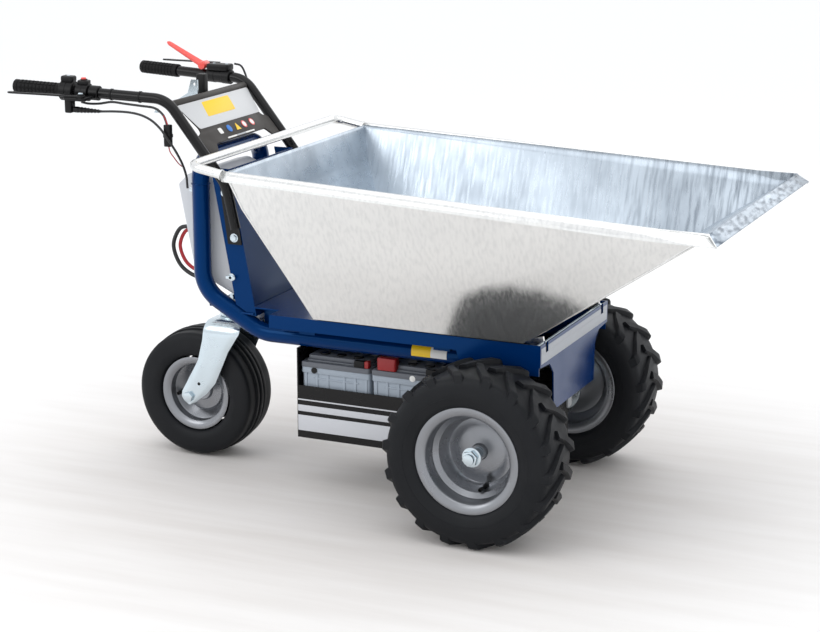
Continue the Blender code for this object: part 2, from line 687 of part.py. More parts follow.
def sleeve(name, sign, x0, x1, radius, finish, bore=None, sides=20):
    """A round sleeve round a handlebar; with a bore it is open at both ends."""
    obj = own(from_bmesh(along_bar(sign, x0, x1, radius, sides), name), name, finish)
    cut(obj, along_bar(sign, x0 + 0.02, x1 - 0.02, bore or BAR_R + GAP, sides), "bore")
    return obj


def build_handlebars():
    for side, sign in SIDES:
        end = THROTTLE_END_X if side == "right" else LEFT_END_X
        corners = [(x, sign * BAR_Y, z) for x, z in BAR_PATH] + [bar_point(end, sign)]
        tube(f"handlebar_{side}", rounded(corners, (0.090, 0.070)), BAR_R, BLACK_PAINT)
        y = sign * (BULK_HALF + GAP + 0.003)
        outline = [(-0.722, 0.716), (-0.703, 0.578), (-0.668, 0.578), (-0.690, 0.716)]
        holes = [circle((-0.708, 0.700), 0.0055, 12), circle((-0.686, 0.594), 0.0055, 12)]
        plate(f"handle_bracket_{side}", [outline, *holes], 0.006, BLACK_PAINT, (0, y, 0), "XZ")
        for level, (x, z) in (("upper", (-0.708, 0.700)), ("lower", (-0.686, 0.594))):
            face = BULK_HALF + 0.006 + 2 * GAP
            bolt = cylinder(f"handle_bolt_{side}_{level}", (x, sign * (BULK_HALF + GAP), z), (x, sign * (face + 0.002), z),
                            0.0052, ZINC, 12)
            join(bolt, cylinder_mesh((x, sign * face, z), (x, sign * (face + 0.0055), z), 0.0085, 6), "head")


def build_right_controls():
    """Twist throttle, switch housing with its button, and the brake lever on its perch."""
    sign = -1
    grip = own(from_bmesh(along_bar(sign, -1.117, -1.243, GRIP_R), "throttle_grip"), "throttle_grip", BLACK)
    cut(grip, along_bar(sign, -1.100, THROTTLE_END_X - 0.002, BAR_R + GAP), "bore")
    housing = sleeve("throttle_housing", sign, -1.083, -1.1165, 0.024, BLACK)
    middle = bar_point(-1.100, sign)
    join(housing, box_mesh(middle + Vector((-0.014, -0.012, 0.020)), middle + Vector((0.016, 0.014, 0.036)), 0.004), "cap")
    switch = sleeve("switch_housing", sign, -1.044, -1.074, 0.021, BLACK)
    top = bar_point(-1.059, sign)
    join(switch, box_mesh(top + Vector((-0.013, -0.012, 0.017)), top + Vector((0.013, 0.012, 0.031)), 0.003), "cap")
    cut(switch, cylinder_mesh(top + Vector((0, 0, 0.023)), top + Vector((0, 0, 0.04)), 0.0063, 16), "button_bore")
    cylinder("run_button", top + Vector((0, 0, 0.0265)), top + Vector((0, 0, 0.0345)), 0.006, RED, 16)
    build_brake()


def build_brake():
    """The perch clamps the bar; the lever turns on the perch about an upright pin and pulls in to the grip."""
    sign = -1
    perch = sleeve("brake_perch", sign, -1.018, -1.041, 0.0175, BLACK)
    base = bar_point(-1.030, sign)
    join(perch, box_mesh(base + Vector((-0.011, -0.066, -0.012)), base + Vector((0.010, -0.0135, -0.004)), 0.002), "arm")
    join(perch, box_mesh(base + Vector((-0.048, -0.066, -0.012)), base + Vector((-0.004, -0.032, -0.004)), 0.002), "reach")
    join(perch, box_mesh(base + Vector((-0.048, -0.060, -0.042)), base + Vector((-0.030, -0.038, -0.006)), 0.002), "drop")
    pivot = base + Vector((-0.004, -0.056, 0))
    lever_z = (base.z - 0.0035, base.z + 0.0015)
    outline = [(0.012, -0.008), (0.008, 0.012), (-0.030, 0.010), (-0.191, -0.003), (-0.196, -0.013), (-0.188, -0.018),
               (-0.034, -0.010)]
    points = [(pivot.x + x, pivot.y + y) for x, y in outline]
    plate("brake_lever", [points], lever_z[1] - lever_z[0], BLACK_PAINT, (0, 0, sum(lever_z) / 2), "XY")
    boot = base + Vector((-0.0275, -0.049, -0.034))
    tip = boot + Vector((0.067, 0.010, -0.002))
    cylinder("cable_boot", boot, tip, 0.0075, BLACK, 16, 0.0035)


def build_left_controls():
    """The bar grip, and a clamp that carries the red parking lever and the thin release lever."""
    sign = 1
    grip = own(from_bmesh(along_bar(sign, -1.045, -1.158, GRIP_R), "grip_left"), "grip_left", BLACK)
    cut(grip, along_bar(sign, -1.030, LEFT_END_X - 0.002, BAR_R + GAP), "bore")
    clamp = sleeve("clamp_housing", sign, -0.885, -0.952, 0.0180, BLACK)
    base = bar_point(-0.935, sign)
    join(clamp, box_mesh(base + Vector((-0.015, -0.018, 0.0135)), base + Vector((0.047, 0.016, 0.030)), 0.003), "top")
    pivot = base + Vector((-0.030, 0.0, 0.0245))
    lever = cylinder("parking_lever", pivot + Vector((0.004, 0, -0.004)), pivot + Vector((-0.105, 0, 0.052)), 0.0085, RED, 16, 0.0050)
    join(lever, cylinder_mesh(pivot + Vector((0, -0.016, 0)), pivot + Vector((0, 0.014, 0)), 0.010, 16), "hub")
    outer = base + Vector((-0.012, 0.030, 0.0275))
    outline = [(0.010, -0.006), (0.010, 0.008), (-0.020, 0.008), (-0.150, 0.004), (-0.156, -0.002), (-0.150, -0.008),
               (-0.020, -0.006)]
    points = [(outer.x + x, outer.y + y) for x, y in outline]
    plate("release_lever", [points], 0.004, BLACK_PAINT, (0, 0, outer.z), "XY")


def dash_point(across, down, lift=0.0):
    """A point of the dash: across from the middle, down its slope, and lifted off its face."""
    dx, dz = DASH_DOWN
    return Vector((DASH_TOP[0] + dx * down - dz * lift, across, DASH_TOP[1] + dz * down + dx * lift))


def build_dash():
    half = [(0.174, 0.0), (0.174, 0.018), (0.160, 0.030), (0.152, 0.060), (0.146, 0.080), (0.150, 0.092), (0.172, 0.100),
            (0.172, 0.150), (0.134, 0.150), (0.120, 0.130)]
    outline = half + [(-y, v) for y, v in reversed(half)]
    shape = bmesh.new()
    rings = [[shape.verts.new(dash_point(y, v, lift)) for y, v in outline] for lift in (-DASH_THICK, 0.0)]
    shape.faces.new(rings[0])
    shape.faces.new(rings[1])
    for i in range(len(outline)):
        j = (i + 1) % len(outline)
        shape.faces.new((rings[0][i], rings[0][j], rings[1][j], rings[1][i]))
    dash = own(from_bmesh(shape, "dash_panel"), "dash_panel", DASH)
    low, high = dash_point(-0.176, 0.004, -0.014), dash_point(0.176, 0.004, 0.0)
    join(dash, cylinder_mesh((low.x, low.y, low.z + 0.001), (low.x, high.y, low.z + 0.001), 0.011, 12), "top_roll")
    edge = [(-0.944, 0.877), (-0.938, 0.869), (-0.900, 0.858), (-0.8585, 0.852), (-0.8585, 0.938), (-0.876, 0.938),
            (-0.886, 0.905), (-0.912, 0.889)]
    plate("latch_bracket", [edge, circle((-0.868, 0.927), 0.004, 12)], 0.004, ZINC, (0, -0.020, 0), "XZ")
    box("latch_lever", (-0.883, 0.012, 0.826), (-0.859, 0.032, 0.947), BLACK_PAINT, 0.003)


BRAKE_ROUTE = ((-0.9895, -0.2445, 0.8850), (-0.955, -0.240, 0.8865), (-0.920, -0.236, 0.886), (-0.890, -0.232, 0.881),
               (-0.863, -0.2295, 0.8695), (-0.841, -0.2275, 0.851), (-0.824, -0.2265, 0.829), (-0.811, -0.216, 0.8024),
               (-0.8045, -0.196, 0.768), (-0.8045, -0.178, 0.735), (-0.8045, -0.1735, 0.705))
HARNESS_ROUTE = ((-1.066, -0.2095, 0.8975), (-1.046, -0.2090, 0.8950), (-1.018, -0.207, 0.8965), (-0.985, -0.205, 0.9020),
                 (-0.949, -0.204, 0.8998), (-0.909, -0.203, 0.8975), (-0.8696, -0.205, 0.8950), (-0.8461, -0.2095, 0.8835),
                 (-0.837, -0.212, 0.872), (-0.8325, -0.213, 0.8612))
LOWER_ROUTE = ((-0.829, -0.214, 0.8120), (-0.8265, -0.212, 0.7959), (-0.820, -0.205, 0.7811), (-0.8165, -0.192, 0.766),
               (-0.8145, -0.180, 0.757))
LOOP_ROUTE = ((-0.8451, -0.055, 0.585), (-0.872, -0.055, 0.5845), (-0.900, -0.055, 0.575), (-0.918, -0.055, 0.5336),
              (-0.903, -0.055, 0.490), (-0.872, -0.055, 0.466), (-0.835, -0.055, 0.4595), (-0.800, -0.055, 0.4730))
LEFT_ROUTE = ((-0.884, 0.208, 0.948), (-0.866, 0.212, 0.942), (-0.852, 0.213, 0.912), (-0.840, 0.206, 0.878),
              (-0.830, 0.188, 0.852), (-0.815, 0.168, 0.838), (-0.792, 0.150, 0.822), (-0.786, 0.145, 0.812),
              (-0.786, 0.142, 0.7990))


def build_cables():
    tube("brake_cable", smooth_route(BRAKE_ROUTE, 0.012), 0.0028, CABLE, 2)
    tube("harness", smooth_route(HARNESS_ROUTE, 0.012), 0.0028, CABLE, 2)
    lead = as_mesh(tube("connector_lead", smooth_route(LOWER_ROUTE, 0.010), 0.0028, CABLE, 2))
    join(lead, box_mesh((-0.8375, -0.221, 0.8085), (-0.8205, -0.207, 0.8600), 0.002), "plug")
    tube("battery_lead_black", smooth_route(LOOP_ROUTE, 0.014), 0.0050, CABLE, 2)
    red = [(-0.845 + (x + 0.845) * 0.84, y + 0.012, 0.5265 + (z - 0.5265) * 0.84) for x, y, z in LOOP_ROUTE]
    red[0] = (-0.8430, red[0][1], red[0][2])
    red[-1] = (-0.8150, red[-1][1], 0.4750)
    tube("battery_lead_red", smooth_route(red, 0.014), 0.0045, CABLE_RED, 2)
    tube("left_cable", smooth_route(LEFT_ROUTE, 0.012), 0.0025, CABLE, 2)


build_frame()
build_bulkhead()
build_chassis()
build_column_cover()
build_tub()
build_batteries()
build_drive()
build_drive_wheels()
build_caster()
build_handlebars()
build_right_controls()
build_left_controls()
build_dash()
build_cables()
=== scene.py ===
"""Battery power wheelbarrow in a pale studio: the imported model's frame, with detailed pieces standing for
its nodes.

Lengths are metres. Pieces are laid out with X = 0 at the drive axle, +X forward, +Y the operator's left and
Z = 0 on the ground; mesh_piece moves them to the frame's origin, AXLE_X behind the axle.
"""

import math

import bmesh
import bpy
import mathutils
import numpy as np
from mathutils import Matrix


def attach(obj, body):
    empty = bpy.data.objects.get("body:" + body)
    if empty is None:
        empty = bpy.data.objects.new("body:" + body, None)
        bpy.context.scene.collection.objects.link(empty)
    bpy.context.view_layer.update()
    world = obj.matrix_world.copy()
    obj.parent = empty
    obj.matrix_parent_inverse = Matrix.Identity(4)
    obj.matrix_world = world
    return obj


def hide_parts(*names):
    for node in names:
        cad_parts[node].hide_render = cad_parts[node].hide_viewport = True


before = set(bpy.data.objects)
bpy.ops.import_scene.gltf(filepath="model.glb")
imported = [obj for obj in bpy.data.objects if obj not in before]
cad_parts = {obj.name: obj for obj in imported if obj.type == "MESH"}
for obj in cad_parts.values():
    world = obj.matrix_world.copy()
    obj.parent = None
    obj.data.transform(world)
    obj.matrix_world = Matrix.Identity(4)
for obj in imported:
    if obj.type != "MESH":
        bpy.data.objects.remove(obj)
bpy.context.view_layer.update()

AXLE_X = 0.35245
SIDES = (("left", 1), ("right", -1))

# Drive wheels: the axle is one tyre radius up.
DRIVE_RADIUS, DRIVE_Y = 0.203, 0.320
DRIVE_BEAD, DRIVE_FLANGE_Y, DRIVE_HALF, DRIVE_TREAD = 0.1016, 0.070, 0.082, 0.066
LUGS_PER_SIDE = 18
# Caster
CASTER_X, CASTER_RADIUS, CASTER_BEAD = -0.8686, 0.1605, 0.0762
CASTER_FLANGE_Y, CASTER_HALF, CASTER_TREAD = 0.055, 0.064, 0.048
KING_PIN_X = -0.785
# Side tubes and hoop
TUBE_Y, TUBE_RADIUS = 0.150, 0.0212
COLUMN_X, COLUMN_TOP_Z, RAIL_Z, HOOP_TOP_Z = -0.782, 0.714, 0.368, 0.776
# Tub
TUB_SHEET, HEM_SHEET = 0.0025, 0.0015
TIPPING_BAR_RADIUS = 0.0105
TIPPING_BAR_X, TIPPING_BAR_Y, TIPPING_BAR_Z = -0.684, 0.368, 0.800
TIPPING_BAR_ROOT_X, TIPPING_BAR_ROOT_Z = -0.6005, 0.785
# Handlebars: level from BAR_BEND_X back, spreading and rising a little on the way.
BAR_RADIUS, BAR_Y, BAR_BEND_X, BAR_BEND_Z = 0.0125, 0.190, -0.845, 0.9147
BAR_SPREAD, BAR_RISE = 0.085, 0.034
BAR_BORE = 0.0128
# Dash: its top edge, and the slope its face runs down.
DASH_X, DASH_Z = -0.838, 0.905
DASH_ALONG, DASH_DOWN = 0.658, 0.753


# ---------------------------------------------------------------- materials
def shader(name, colour, roughness, metallic=0.0, coat=0.0, specular=0.5):
    """A material with these values set on the shader's own sockets."""
    made = bpy.data.materials.new(name)
    made.use_nodes = True
    surface = made.node_tree.nodes["Principled BSDF"]
    surface.inputs["Base Color"].default_value = (*colour, 1.0)
    surface.inputs["Roughness"].default_value = roughness
    surface.inputs["Metallic"].default_value = metallic
    surface.inputs["Coat Weight"].default_value = coat
    surface.inputs["Coat Roughness"].default_value = 0.06
    surface.inputs["Specular IOR Level"].default_value = specular
    made.diffuse_color = (*colour, 1.0)
    return made


def noise(made, scale, stretch, detail=4.0):
    """A noise node on the piece's object coordinates, stretched along its axes."""
    nodes, links = made.node_tree.nodes, made.node_tree.links
    where = nodes.new("ShaderNodeTexCoord")
    mapping = nodes.new("ShaderNodeMapping")
    mapping.inputs["Scale"].default_value = stretch
    texture = nodes.new("ShaderNodeTexNoise")
    texture.inputs["Scale"].default_value = scale
    texture.inputs["Detail"].default_value = detail
    links.new(where.outputs["Object"], mapping.inputs["Vector"])
    links.new(mapping.outputs["Vector"], texture.inputs["Vector"])
    return texture.outputs["Fac"]


def ramp(made, value, low, high, start=0.35, end=0.65):
    """value from start to end turned into low to high, as a number."""
    node = made.node_tree.nodes.new("ShaderNodeMapRange")
    node.inputs["From Min"].default_value = start
    node.inputs["From Max"].default_value = end
    node.inputs["To Min"].default_value = low
    node.inputs["To Max"].default_value = high
    made.node_tree.links.new(value, node.inputs["Value"])
    return node.outputs["Result"]


def blend_colour(made, value, first, second):
    """first where value is 0, second where it is 1; either may be a colour or another node's output."""
    node = made.node_tree.nodes.new("ShaderNodeMix")
    node.data_type = "RGBA"
    links = made.node_tree.links
    links.new(value, node.inputs[0])
    for socket, colour in ((node.inputs[6], first), (node.inputs[7], second)):
        if isinstance(colour, tuple):
            socket.default_value = (*colour, 1.0)
        else:
            links.new(colour, socket)
    return node.outputs[2]


def feed(made, socket, output):
    """Runs a node's output into one of the shader's sockets."""
    made.node_tree.links.new(output, made.node_tree.nodes["Principled BSDF"].inputs[socket])


def bumped(made, value, strength, distance):
    """Raises and lowers the surface by value."""
    node = made.node_tree.nodes.new("ShaderNodeBump")
    node.inputs["Strength"].default_value = strength
    node.inputs["Distance"].default_value = distance
    made.node_tree.links.new(value, node.inputs["Height"])
    feed(made, "Normal", node.outputs["Normal"])


def paint(name, colour, roughness=0.22, coat=0.6, specular=0.4):
    """Gloss powder coat with a faint orange-peel surface."""
    made = shader(name, colour, roughness, 0.0, coat, specular)
    feed(made, "Roughness", ramp(made, noise(made, 9.0, (1, 1, 1)), roughness * 0.8, roughness * 1.5))
    bumped(made, noise(made, 420.0, (1, 1, 1), 1.0), 0.05, 0.0006)
    return made


def moulded(name, colour, roughness=0.5, grain=900.0, specular=0.3):
    """Moulded plastic or rubber with a fine grain."""
    made = shader(name, colour, roughness, 0.0, 0.0, specular)
    feed(made, "Roughness",
         ramp(made, noise(made, 14.0, (1, 1, 1)), roughness * 0.85, min(1.0, roughness * 1.2)))
    bumped(made, noise(made, grain, (1, 1, 1), 2.0), 0.12, 0.0005)
    return made


def galvanised(name, pale, dark, amount, roughness, stretch, metallic=0.85, reflection_fade=None):
    """Galvanised sheet: cloudy mottling, with streaks run down it in the dip. The last argument, a (start,
    end) span of X, brings the streaks in along X as a painted reflection: the sheet stays pale near the rear,
    where the far wall mirrors the pale rear wall, and grows darker towards the front.
    """
    made = shader(name, pale, roughness, metallic)
    cloud = ramp(made, noise(made, 6.0, (1, 1, 1), 6.0), 0.0, amount * 0.45)
    streak = ramp(made, noise(made, 30.0, stretch, 4.0), 0.0, amount, 0.45, 0.66)
    # Painted reflection: the streaks' share ramps up along X, so the sheet is pale at the rear and darker
    # towards the front.
    if reflection_fade:
        nodes, links = made.node_tree.nodes, made.node_tree.links
        split = nodes.new("ShaderNodeSeparateXYZ")
        links.new(nodes.new("ShaderNodeTexCoord").outputs["Object"], split.inputs["Vector"])
        share = nodes.new("ShaderNodeMath")
        share.operation = "MULTIPLY"
        links.new(ramp(made, split.outputs["X"], 0.12, 1.0, *reflection_fade), share.inputs[0])
        links.new(streak, share.inputs[1])
        streak = share.outputs["Value"]
    first = blend_colour(made, cloud, pale, dark)
    feed(made, "Base Color", blend_colour(made, streak, first, dark))
    feed(made, "Roughness", ramp(made, noise(made, 40.0, stretch, 4.0), roughness * 0.8, roughness * 1.3))
    bumped(made, noise(made, 5.0, (1, 1, 0.5), 1.0), 0.06, 0.004)
    return made


BLUE = paint("blue_powder_coat", (0.0, 0.0185, 0.095), 0.16, 0.0, 0.5)
BLUE.node_tree.nodes["Principled BSDF"].inputs["Specular Tint"].default_value = (0.10, 0.36, 0.85, 1.0)
BLACK_PAINT = paint("black_gloss_paint", (0.0035, 0.0035, 0.004), 0.22, 0.12, 0.22)
RIM_PAINT = paint("silver_rim_paint", (0.27, 0.28, 0.30), 0.26, 0.15)
RIM_PAINT.node_tree.nodes["Principled BSDF"].inputs["Metallic"].default_value = 0.85
OUTSIDE = galvanised("galvanised_outside", (0.82, 0.825, 0.815), (0.55, 0.56, 0.57), 0.30, 0.17,
                     (5.0, 5.0, 0.06), 0.92)
# The tub's inside faces: the same galvanising as outside, drawn darker and bluer as painted shade; the dip
# streaks are the sheet's own, but their fading in along X is a painted reflection of the pale rear wall.
INSIDE_PAINTED_SHADE = galvanised("galvanised_inside_painted_shade", (0.56, 0.63, 0.70), (0.10, 0.125, 0.16), 0.80, 0.30,
                    (3.6, 1.0, 0.10), 0.82, (0.30, 0.85))
ZINC = galvanised("bright_zinc_plate", (0.60, 0.68, 0.73), (0.46, 0.53, 0.57), 0.10, 0.22, (1, 1, 1), 1.0)
TYRE = moulded("tyre_rubber", (0.0060, 0.0070, 0.0090), 0.52, 700.0, 0.22)
GRIP = moulded("grip_rubber", (0.004, 0.004, 0.0045), 0.50, 1400.0, 0.2)
BLACK = moulded("black_plastic", (0.004, 0.004, 0.0045), 0.38, 900.0, 0.24)
CABLE = shader("black_cable", (0.010, 0.010, 0.011), 0.42)
CABLE_RED = shader("red_cable", (0.42, 0.012, 0.02), 0.38)
CABLE_WHITE = shader("white_wire", (0.75, 0.76, 0.75), 0.4)
COVER = moulded("grey_cover_plastic", (0.60, 0.62, 0.65), 0.45)
DASH = moulded("dash_plastic", (0.036, 0.032, 0.029), 0.5)
DASH_FACE = shader("silver_dash_face", (0.55, 0.56, 0.57), 0.38, 0.3)
RED = shader("red_plastic", (0.80, 0.075, 0.060), 0.32, 0.0, 0.4)
YELLOW = shader("yellow_print", (0.90, 0.58, 0.010), 0.4)
PRINT_BLUE = shader("blue_print", (0.01, 0.16, 0.55), 0.45)
WHITE = shader("white_print", (0.78, 0.78, 0.76), 0.45)
GREY_PRINT = shader("grey_print", (0.42, 0.44, 0.47), 0.5)
CAP_RED = shader("terminal_cap_red", (0.28, 0.008, 0.010), 0.35)
CASE = moulded("battery_case", (0.33, 0.38, 0.44), 0.34, 200.0)
LID = moulded("battery_lid", (0.13, 0.14, 0.16), 0.38)
BAND = shader("pale_band", (0.56, 0.575, 0.61), 0.35, 0.0, 0.0, 0.3)
CAST = moulded("cast_housing", (0.27, 0.28, 0.29), 0.5, 300.0)
# Near-black standing in for the shade inside holes and openings: painted shade.
PAINTED_SHADE = shader("painted_shade_gap", (0.004, 0.004, 0.004), 0.8)


# ---------------------------------------------------------------- shapes: each gives (points, faces)
def grid(points, wrap_rows=False, wrap_columns=False):
    """The quads of a rows x columns table of points: each cell joins a point to its next row and next
    column.
    """
    rows, columns = points.shape[:2]
    i, j = np.meshgrid(np.arange(rows - (not wrap_rows)), np.arange(columns - (not wrap_columns)),
                       indexing="ij")
    i2, j2 = (i + 1) % rows, (j + 1) % columns
    quads = np.stack([i * columns + j, i * columns + j2, i2 * columns + j2, i2 * columns + j], axis=-1)
    return points.reshape(-1, 3), [tuple(q) for q in quads.reshape(-1, 4).tolist()]


def merged(*shapes):
    """The shapes joined into one table of points and faces."""
    points, faces, start = [], [], 0
    for shape_points, shape_faces in shapes:
        shape_points = np.asarray(shape_points, float)
        points.append(shape_points)
        faces += [tuple(i + start for i in face) for face in shape_faces]
        start += len(shape_points)
    return np.concatenate(points), faces


def sweep(path, radius, sides=24):
    """A round tube: at each point of the path, a circle of that radius square to the path, carried along
    without twist.
    """
    path = np.asarray(path, float)
    radius = np.broadcast_to(np.asarray(radius, float), len(path))
    tangent = np.gradient(path, axis=0)
    tangent /= np.linalg.norm(tangent, axis=1, keepdims=True)
    side = np.cross(tangent[0], (0, 0, 1.0) if abs(tangent[0][2]) < 0.9 else (1.0, 0, 0))
    turn = np.linspace(0, 2 * math.pi, sides, endpoint=False)
    rings = []
    for point, along, r in zip(path, tangent, radius):
        side = side - along * side.dot(along)
        side /= np.linalg.norm(side)
        up = np.cross(along, side)
        rings.append(point + r * (np.outer(np.cos(turn), side) + np.outer(np.sin(turn), up)))
    points, faces = grid(np.array(rings), wrap_columns=True)
    return points, faces + [tuple(range(sides))[::-1], tuple(range(len(points) - sides, len(points)))]


def rod(start, end, radius, sides=24, end_radius=None, edge=0.0006):
    """A straight round bar whose two edges are rounded over by a small radius."""
    start, end = np.asarray(start, float), np.asarray(end, float)
    last = radius if end_radius is None else end_radius
    along = end - start
    length = np.linalg.norm(along)
    at = np.array([0, edge * 0.3, edge, length - edge, length - edge * 0.3, length])
    path = start + np.outer(at, along / length)
    wide = radius + (last - radius) * at / length
    wide = wide - edge * np.array([1, 0.3, 0, 0, 0.3, 1])
    return sweep(path, wide, sides)


def rounded(corners, radii, steps=9):
    """The corners' path with each inner corner replaced by an arc of its radius."""
    corners = [np.asarray(c, float) for c in corners]
    path = [corners[0]]
    for before, corner, after, radius in zip(corners, corners[1:], corners[2:], radii):
        a = (before - corner) / np.linalg.norm(before - corner)
        b = (after - corner) / np.linalg.norm(after - corner)
        half = math.acos(np.clip(a.dot(b), -1, 1)) / 2
        reach = radius / math.tan(half)
        middle = corner + (a + b) / np.linalg.norm(a + b) * radius / math.sin(half)
        first, last = corner + a * reach - middle, corner + b * reach - middle
        angle = math.pi - 2 * half
        for t in np.linspace(0, 1, steps):
            bend = (math.sin((1 - t) * angle) * first + math.sin(t * angle) * last) / math.sin(angle)
            path.append(middle + bend)
    return np.array([*path, corners[-1]])


def smooth(route, spacing=0.004):
    """A Catmull-Rom curve through the route's points, sampled evenly."""
    p = np.asarray(route, float)
    p = np.vstack([2 * p[0] - p[1], p, 2 * p[-1] - p[-2]])
    out = []
    for a, b, c, d in zip(p, p[1:], p[2:], p[3:]):
        count = max(2, int(np.linalg.norm(c - b) / spacing))
        for t in np.arange(count) / count:
            out.append(0.5
                       * (2 * b + (c - a) * t + (2 * a - 5 * b + 4 * c - d) * t**2 + (3 * b - a - 3 * c + d)
                          * t**3))
    return np.array([*out, p[-2]])


def inset(outline, distance):
    """The closed outline moved inwards: each corner shifts along its mitre."""
    o = np.asarray(outline, float)
    before, after = o - np.roll(o, 1, 0), np.roll(o, -1, 0) - o
    before /= np.linalg.norm(before, axis=1, keepdims=True)
    after /= np.linalg.norm(after, axis=1, keepdims=True)
    normal = np.stack([-before[:, 1] - after[:, 1], before[:, 0] + after[:, 0]], 1)
    size = np.linalg.norm(normal, axis=1, keepdims=True)
    normal /= np.maximum(size, 1e-9)
    lean = np.maximum(size / 2, 0.35)
    area = np.sum(o[:, 0] * np.roll(o[:, 1], -1) - o[:, 1] * np.roll(o[:, 0], -1))
    return o + np.sign(area) * normal / lean * distance


def corner_arcs(outline, radius, steps=5):
    """A closed outline with every corner rounded."""
    o = np.asarray(outline, float)
    out = []
    for before, corner, after in zip(np.roll(o, 1, 0), o, np.roll(o, -1, 0)):
        reach = min(radius, 0.45 * np.linalg.norm(before - corner), 0.45 * np.linalg.norm(after - corner))
        a = corner + (before - corner) / np.linalg.norm(before - corner) * reach
        b = corner + (after - corner) / np.linalg.norm(after - corner) * reach
        for t in np.linspace(0, 1, steps):
            out.append((1 - t) ** 2 * a + 2 * t * (1 - t) * corner + t**2 * b)
    return np.array(out)


def prism(outline, low, high, bevel, place):
    """The outline run from low to high with its two rims rounded over; place turns (u, v, w) columns into
    points.
    """
    flip = 1 if high > low else -1
    rings = []
    for share, depth in ((1, 0), (0.3, 0.25), (0, 1)):
        rings.append((inset(outline, bevel * share), low + flip * bevel * depth))
    for share, depth in ((0, 1), (0.3, 0.25), (1, 0)):
        rings.append((inset(outline, bevel * share), high - flip * bevel * depth))
    table = np.array([place(ring[:, 0], ring[:, 1], np.full(len(ring), w)) for ring, w in rings])
    points, faces = grid(table, wrap_columns=True)
    count = len(outline)
    return points, faces + [tuple(range(count))[::-1], tuple(range(len(points) - count, len(points)))]


def flat(axis):
    """Places an outline's (u, v, w): drawn in XY and run up Z, in XZ and run along Y, or in YZ and run along
    X.
    """
    order = {"Z": (0, 1, 2), "Y": (0, 2, 1), "X": (2, 0, 1)}[axis]
    return lambda *uvw: np.stack([uvw[i] for i in order], axis=1)


def box(low, high, bevel=0.001, corner=None):
    """A block with rounded rims, and with rounded upright corners if corner is given."""
    (x0, y0, z0), (x1, y1, z1) = low, high
    outline = np.array([(x0, y0), (x1, y0), (x1, y1), (x0, y1)], float)
    outline = corner_arcs(outline, corner or bevel * 1.2, 4)
    return prism(outline, z0, z1, bevel, flat("Z"))


def lathe(profile, centre, axis, steps=64, sign=1):
    """The (radius, offset) profile turned about the axis through the centre, offset running along sign times
    the axis.
    """
    profile = np.asarray(profile, float)
    turn = np.linspace(0, 2 * math.pi, steps, endpoint=False)
    first, second, along = {"Y": ((0, 0, 1), (1, 0, 0), (0, 1, 0)),
                            "Z": ((1, 0, 0), (0, 1, 0), (0, 0, 1))}[axis]
    ring = np.outer(np.cos(turn), first) + np.outer(np.sin(turn), second)
    table = profile[None, :, :1] * ring[:, None, :] + profile[None, :, 1:] * (sign * np.array(along, float))
    return grid(table + np.asarray(centre, float), wrap_rows=True, wrap_columns=True)


def placed(shape, origin, x_axis, y_axis, z_axis):
    """The shape with its own axes laid along these three and its origin moved."""
    points, faces = shape
    return points @ np.array([x_axis, y_axis, z_axis], float) + np.asarray(origin, float), faces


def mesh_piece(name, shape, finish, body, stands_for=(), crease=32.0):
    """Makes the piece from its points and faces, with its place in the mesh, and ties it to its CAD body."""
    points, faces = shape
    points = np.asarray(points, float) + np.array([AXLE_X, 0.0, 0.0])
    mesh = bpy.data.meshes.new(name)
    mesh.from_pydata(points.tolist(), [], faces)
    mesh.update()
    for made in finish if isinstance(finish, (list, tuple)) else [finish]:
        mesh.materials.append(made)
    mesh.validate()
    mesh.polygons.foreach_set("use_smooth", np.ones(len(mesh.polygons), bool))
    mesh.set_sharp_from_angle(angle=math.radians(crease))
    piece = bpy.data.objects.new(name, mesh)
    bpy.context.scene.collection.objects.link(piece)
    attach(piece, body)
    if stands_for:
        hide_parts(*stands_for)
    return piece


def repaint(node, finish, bevel=0.0):
    """A CAD node kept as it is, with its finish and small rounded edges."""
    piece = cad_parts[node]
    for index in range(len(piece.material_slots)):
        piece.material_slots[index].material = finish
    if not piece.material_slots:
        piece.data.materials.append(finish)
    if bevel:
        edge = piece.modifiers.new("edge", "BEVEL")
        edge.width = bevel
        edge.segments = 2
        edge.limit_method = "ANGLE"
        edge.angle_limit = math.radians(35)
        edge.harden_normals = True


# ---------------------------------------------------------------- wheels
TURN_STEPS = 120


def carcass(radius, bead, flange_y, half_section, tread):
    """The tyre's round section: bead, bulging wall, shoulder and a gently crowned tread, as a closed smooth
    curve.
    """
    half = [(bead + 0.019, flange_y - 0.006), (bead + 0.0235, flange_y + 0.0035),
            (bead + 0.036, flange_y + 0.0085),
            (0.5 * (radius + bead), half_section), (radius - 0.027, 0.975 * half_section),
            (radius - 0.0150, 0.072 * half_section / DRIVE_HALF),
            (radius - 0.0115, 0.76 * tread), (radius - 0.0095, 0.3 * tread)]
    outer = smooth([(r, y, 0) for r, y in half + [(r, -y) for r, y in reversed(half)]], 0.006)[:, :2]
    lining = [(bead + 0.021, -flange_y + 0.018), (0.5 * (radius + bead), -half_section + 0.010),
              (radius - 0.030, -0.8 * half_section), (radius - 0.030, 0.8 * half_section),
              (0.5 * (radius + bead), half_section - 0.010), (bead + 0.021, flange_y - 0.018)]
    return np.vstack([outer, lining])


